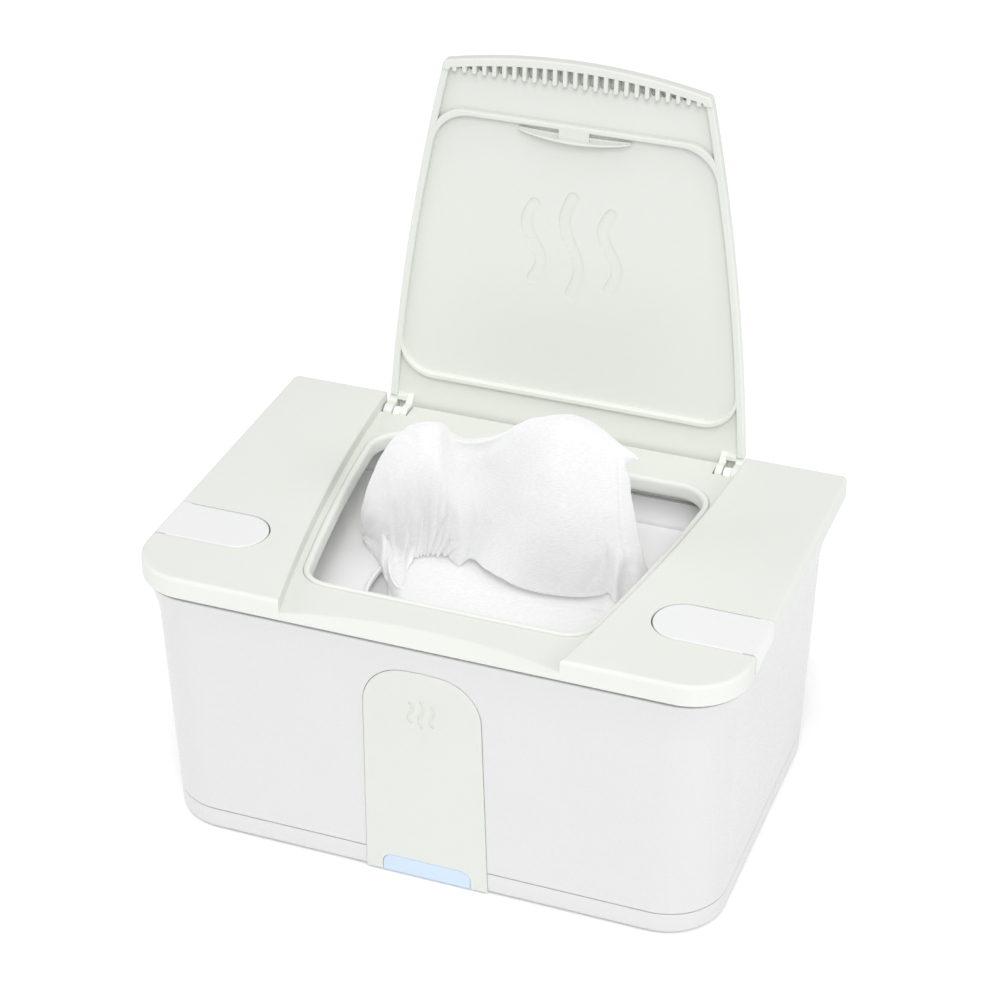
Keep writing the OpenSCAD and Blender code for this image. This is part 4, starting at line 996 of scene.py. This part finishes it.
above = np.clip((1.06 - q_fine) / 0.1, 0, 1)[None, :] * np.ones((NU, 1))          # nothing below the oval
D = (0.75 * cloud + 0.32 * cloud2) * above


def crease(path, depth, w0, w1, reach=1.25):
    """Valley (or ridge, depth < 0) along a path of (column, v), narrow at its first point and wide and shallow at its last."""
    global D
    path = np.array(path, float)
    v = path[:, 1] = path[0, 1] - reach * (path[0, 1] - path[:, 1])
    c_at = np.interp(VF, v[::-1], path[::-1, 0])
    t = np.clip((VF - v[-1]) / (v[0] - v[-1]), 0, 1)
    w = w1 + (w0 - w1) * t
    a = 1.5 * depth * smooth(t * 1.6) * (VF <= v[0] + 0.02)
    D = D - a * np.exp(-((COL - c_at) / w) ** 2)


# pleats that fan out of the gather at the lower left
crease([(11.35, 1.0), (12.0, 0.88), (13.0, 0.76), (13.5, 0.62)], 1.5, 0.20, 0.42)
crease([(12.45, 1.0), (13.5, 0.89), (15.0, 0.83)], 1.4, 0.20, 0.40)
crease([(10.55, 1.0), (10.5, 0.80), (10.4, 0.58)], 1.1, 0.18, 0.50)
crease([(9.75, 1.0), (9.9, 0.84), (10.0, 0.74)], 1.1, 0.17, 0.30)
crease([(11.9, 1.0), (12.6, 0.90), (13.2, 0.82)], 0.9, 0.16, 0.26)
crease([(13.2, 1.0), (14.2, 0.93), (15.2, 0.88)], 1.0, 0.22, 0.34)
crease([(10.15, 1.0), (10.2, 0.88), (10.25, 0.82)], 0.8, 0.14, 0.20)
crease([(10.95, 1.0), (11.1, 0.88), (11.3, 0.78)], 0.9, 0.15, 0.24)
crease([(11.15, 1.0), (11.6, 0.86), (11.9, 0.66)], -0.7, 0.20, 0.55)
crease([(12.15, 1.0), (13.0, 0.87), (14.0, 0.76)], -0.6, 0.20, 0.45)
# long soft wrinkles that rise from the gather over the left lobe
for c0, c1, v1, d_, w_ in ((9.6, 8.4, 0.30, 0.55, 0.32), (10.3, 9.7, 0.22, 0.6, 0.34), (11.0, 11.0, 0.28, 0.6, 0.30), (11.7, 12.4, 0.20, 0.65, 0.36), (12.4, 13.6, 0.38, 0.6, 0.30),
                           (8.7, 7.2, 0.34, 0.5, 0.36), (13.1, 14.6, 0.45, 0.5, 0.3)):
    crease([(c0, 0.96), (0.6 * c0 + 0.4 * c1, 0.75), (0.25 * c0 + 0.75 * c1, 0.52), (c1, v1)], 0.55 * d_, 0.16, w_, 1.0)
# pucker at the lower right corner
crease([(26.6, 0.99), (26.5, 0.86), (26.0, 0.72)], 1.5, 0.34, 0.55)
crease([(28.3, 0.99), (28.3, 0.86), (28.9, 0.74)], 1.9, 0.30, 0.55)
crease([(27.45, 1.0), (27.45, 0.86), (27.4, 0.68)], -1.4, 0.34, 0.62)
crease([(25.1, 0.97), (25.7, 0.84), (26.7, 0.76)], 0.9, 0.45, 0.65)
crease([(29.3, 1.0), (29.2, 0.88), (28.9, 0.76)], -0.9, 0.4, 0.45)
# long soft folds of the right lobe, and the doubled strip along its free edge
up_ = smooth(VF / 0.25) * smooth((1.0 - VF) / 0.3)
D = D + up_ * (1.7 * np.exp(-((COL - 21.6) / 1.3) ** 2) - 1.4 * np.exp(-((COL - 19.4) / 0.9) ** 2) - 1.5 * np.exp(-((COL - 24.3) / 1.0) ** 2) + 0.8 * np.exp(-((COL - 17.3) / 0.8) ** 2))
strip = 26.2 + 2.6 * smooth(VF)
D = D + 0.8 * smooth((COL - strip) / 0.22) * smooth(VF / 0.2)
# left lobe: a faint long fold beside the silhouette
D = D - 0.5 * up_ * np.exp(-((COL - 6.5) / 0.9) ** 2) + 0.4 * up_ * np.exp(-((COL - 8.6) / 1.0) ** 2)
S = S + NRM * D[:, :, None]
V = S.reshape(-1, 3)
F = [(i * NV + j, (i + 1) * NV + j, (i + 1) * NV + j + 1, i * NV + j + 1) for i in range(NU - 1) for j in range(NV - 1)]
wipe = new_object("pulled_wipe_sheet", V, F)
uvl = wipe.data.uv_layers.new(name="sheet")
vert_uv = np.zeros((NU, NV, 2))
vert_uv[:, :, 0] = u_fine[:, None] * MM
vert_uv[:, :, 1] = np.concatenate([[0], np.cumsum(np.linalg.norm(np.diff(S[int(NU * 0.7)], axis=0), axis=1))])[None, :] * MM
li = np.zeros(len(wipe.data.loops), np.int32)
wipe.data.loops.foreach_get("vertex_index", li)
uvl.data.foreach_set("uv", vert_uv.reshape(-1, 2)[li].astype(np.float32).ravel())
wipe.data.transform(Matrix.Scale(MM, 4))
wipe.data.materials.append(WIPE)
wipe.data.polygons.foreach_set("use_smooth", np.ones(len(wipe.data.polygons), bool))
sol = wipe.modifiers.new("thick", "SOLIDIFY")
sol.thickness, sol.offset = 0.00035, 0
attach(wipe, "plate")
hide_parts("pulled_wipe")
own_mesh(wipe)


def sheet_uv(o):
    """The cloth's own coordinates in metres, from where each point lies."""
    uv_ = o.data.uv_layers.new(name="sheet")
    li_ = np.zeros(len(o.data.loops), np.int32)
    o.data.loops.foreach_get("vertex_index", li_)
    co = np.zeros(len(o.data.vertices) * 3, np.float32)
    o.data.vertices.foreach_get("co", co)
    co = co.reshape(-1, 3)[li_]
    uv_.data.foreach_set("uv", np.column_stack([co[:, 0] + 0.15 * co[:, 1], co[:, 1] + co[:, 2]]).astype(np.float32).ravel() * MM)


# the folded stack under the plate
lvl = [(TUB_Z + 0.15, -2.0), (TUB_Z + 0.5, -1.0), (TUB_Z + 1.3, -0.3)]
zz = TUB_Z + 1.9
while zz < 94.6:
    lvl += [(zz, 0.1 + 0.5 * noise.noise(Vector((0, 0, zz)))), (zz + 0.45, -0.75)]
    zz += 0.95
lvl += [(95.2, -0.4), (95.5, -1.6)]
base_out = rrect(94, -51, 51, 5, 5, 8)
dense = []
for i in range(len(base_out)):
    a_, b_ = base_out[i], base_out[(i + 1) % len(base_out)]
    n_ = max(1, int(np.linalg.norm(b_ - a_) / 5))
    dense += [a_ + (b_ - a_) * t / n_ for t in range(n_)]
dense = np.array(dense)
rings = []
for z_, g_ in lvl:
    wob = np.array([[0.5 * noise.noise(Vector((p[0] / 30, p[1] / 30, z_ / 6))), 0.5 * noise.noise(Vector((p[0] / 30, p[1] / 30, 40 + z_ / 6)))] for p in dense])
    rings.append(np.column_stack([shift(dense, g_) + wob, np.full(len(dense), z_)]))
stack = loft("wipe_pack", rings)
sheet_uv(stack)
finish_piece(stack, "housing", STACK, "wipe_stack", slot="wipe_cloth", angle=70, weighted=False, tidy=False)

# the next wipe, drawn up through the oval towards the one that stands out, and spilling over the oval's front and right
OUTLINE = [(-44.2, -3), (-43.8, -9), (-42.6, -14), (-40.6, -18), (-37.2, -22.6), (-33.4, -28), (-30, -34), (-24, -41), (-13, -47.2), (-1, -52.5),
           (14, -56.5), (31, -55), (45, -49), (54, -38), (58.6, -24), (59.2, -9), (56, 3), (47, 7.5), (34, 4.5), (18, 6.5), (0, 7.5), (-18, 6.5), (-33, 4.5), (-41, 1.5)]
pts = np.array(OUTLINE + OUTLINE[:1], float)
k_ = np.arange(len(pts), dtype=float)
ext = np.concatenate([pts[-4:-1], pts, pts[1:4]])
out_p = natural_spline(np.arange(len(ext)) - 3.0, ext, np.arange(240) * (len(pts) - 1) / 240.0)
mid = np.array([4.0, -21.0])


def in_oval(p, g):
    return (abs(p[0]) / (OVAL_HW - g)) ** 2.5 + (abs(p[1] - OVAL_CY) / (OVAL_HD - g)) ** 2.5


stem, spill = [], []
for p in out_p:
    lo_, hi_ = 0.0, 1.0
    if in_oval(p, 1.3) > 1:
        for _ in range(30):
            c_ = (lo_ + hi_) / 2
            lo_, hi_ = (c_, hi_) if in_oval(mid + (p - mid) * c_, 1.3) < 1 else (lo_, c_)
    else:
        lo_ = 1.0
    stem.append(mid + (p - mid) * lo_)
    spill.append(np.linalg.norm(p - mid) * (1 - lo_))
stem, spill = np.array(stem), np.array(spill)
g_ = smooth(spill / 3.0)[:, None]
dirs = np.array([unit(p - mid) for p in out_p])


def bump(x, y):
    z = 101.75 + 3.3 * math.exp(-((x + 27) / 19.0) ** 2) * float(smooth((y + 27) / 25)) + 0.8 * math.exp(-((x - 30) / 26.0) ** 2) * math.exp(-((y + 24) / 15.0) ** 2)
    z += 0.30 * noise.noise(Vector((x / 26, y / 9, 1.0))) + 0.14 * noise.noise(Vector((x / 11, y / 4.0, 5.0)))
    z -= 0.35 * math.exp(-((y + 17 - 0.12 * x) / 1.6) ** 2) * float(smooth((x + 20) / 25))
    return z


def layer(P, z):
    return np.column_stack([P, z])


zs = lambda a, b: (b * (1 - g_) + a * g_)[:, 0]
wid = np.minimum(4.6, spill)[:, None]
rings = [layer(mid + (stem - mid) * 0.9, zs(97.0, 96.9)), layer(mid + (stem - mid) * 0.985, zs(97.3, 97.0)), layer(stem, zs(98.2, 97.2)), layer(stem, zs(100.9, 97.4)),
         layer(stem + dirs * np.minimum(0.7, spill)[:, None], zs(101.3, 97.6)), layer(stem + dirs * wid, zs(101.3, 97.8)),
         layer(stem + dirs * np.minimum(6.4, spill)[:, None], zs(99.95, 98.0)), layer(out_p - dirs * 0.5 * g_, zs(99.8, 98.2)), layer(out_p, zs(100.2, 98.5))]
for r in np.concatenate([np.linspace(0.994, 0.9, 14), np.linspace(0.885, 0.02, 44)]):
    ring_ = []
    for i, p in enumerate(out_p):
        q = mid + (p - mid) * r
        d_ = (1 - r) * np.linalg.norm(p - mid)
        gi = float(g_[i, 0])
        t = min(1.0, d_ / (8.0 * gi + 4.2 * (1 - gi)))
        z0_ = 100.2 * gi + 98.5 * (1 - gi)
        ring_.append((q[0], q[1], z0_ + (bump(*q) - z0_) * math.sqrt(1 - (1 - t) ** 2)))
    rings.append(np.array(ring_))
mound = loft("next_wipe", rings)
sheet_uv(mound)
mound.data.transform(Matrix.Scale(MM, 4))
mound.data.materials.append(NEXT)
mound.data.polygons.foreach_set("use_smooth", np.ones(len(mound.data.polygons), bool))
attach(mound, "plate")

# ------------------------------------------------------------------ carried-over nodes
FINISH = {
    "led_board": BOARD, "control_board": BOARD, "touch_pad": RUBBER, "board_screws": STEEL, "dc_inlet": BLACK, "heater_plate": ALUMINIUM,
    "heating_film": FILM, "insulation_pad": FOAM, "thermostat": BLACK, "thermal_fuse": STEEL, "wiring": LEAD, "tub_gasket": GASKET,
    "rubber_feet": RUBBER, "base_screws": STEEL, "latch_pins": STEEL, "hinge_pins": STEEL,
}
for n, mat in FINISH.items():
    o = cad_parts[n]
    if o.material_slots:
        for sl in o.material_slots:
            sl.material = mat
    else:
        o.data.materials.append(mat)

# ------------------------------------------------------------------ floor and light
floor_m = bpy.data.materials.new("floor_pale")
floor_m.use_nodes = True
fb = floor_m.node_tree.nodes["Principled BSDF"]
fb.inputs["Base Color"].default_value = (0.99, 0.99, 0.99, 1)
fb.inputs["Roughness"].default_value = 0.9
fb.inputs["Specular IOR Level"].default_value = 0.1
floor = new_object("floor", [(-6, -6, 0), (6, -6, 0), (6, 6, 0), (-6, 6, 0)], [(0, 1, 2, 3)])
floor.data.materials.append(floor_m)

world = bpy.data.worlds.new("studio")
scene.world = world
world.use_nodes = True
world.node_tree.nodes["Background"].inputs["Color"].default_value = (1, 1, 1, 1)
world.node_tree.nodes["Background"].inputs["Strength"].default_value = 0.63


def area(name, loc, aim, size, power, colour=(1, 1, 1)):
    d = bpy.data.lights.new(name, "AREA")
    d.shape, d.size, d.size_y, d.energy, d.color = "RECTANGLE", size[0], size[1], power, colour
    o = bpy.data.objects.new(name, d)
    scene.collection.objects.link(o)
    o.location = loc
    o.rotation_euler = (Vector(aim) - Vector(loc)).to_track_quat("-Z", "Y").to_euler()
    return o


area("key", (1.06, -2.62, 2.95), (0, 0, 0.12), (1.7, 1.7), 68.0)
area("side", (3.07, -0.68, 1.64), (0, 0, 0.1), (1.8, 1.5), 22.0)
area("left", (-2.98, -1.05, 1.6), (0, 0, 0.1), (2.0, 1.6), 19.0)
area("top", (0, -0.97, 4.0), (0, 0, 0.12), (1.8, 1.8), 30.0)
scene.view_settings.view_transform = "Standard"
scene.view_settings.look = "None"
scene.cycles.diffuse_bounces = 8
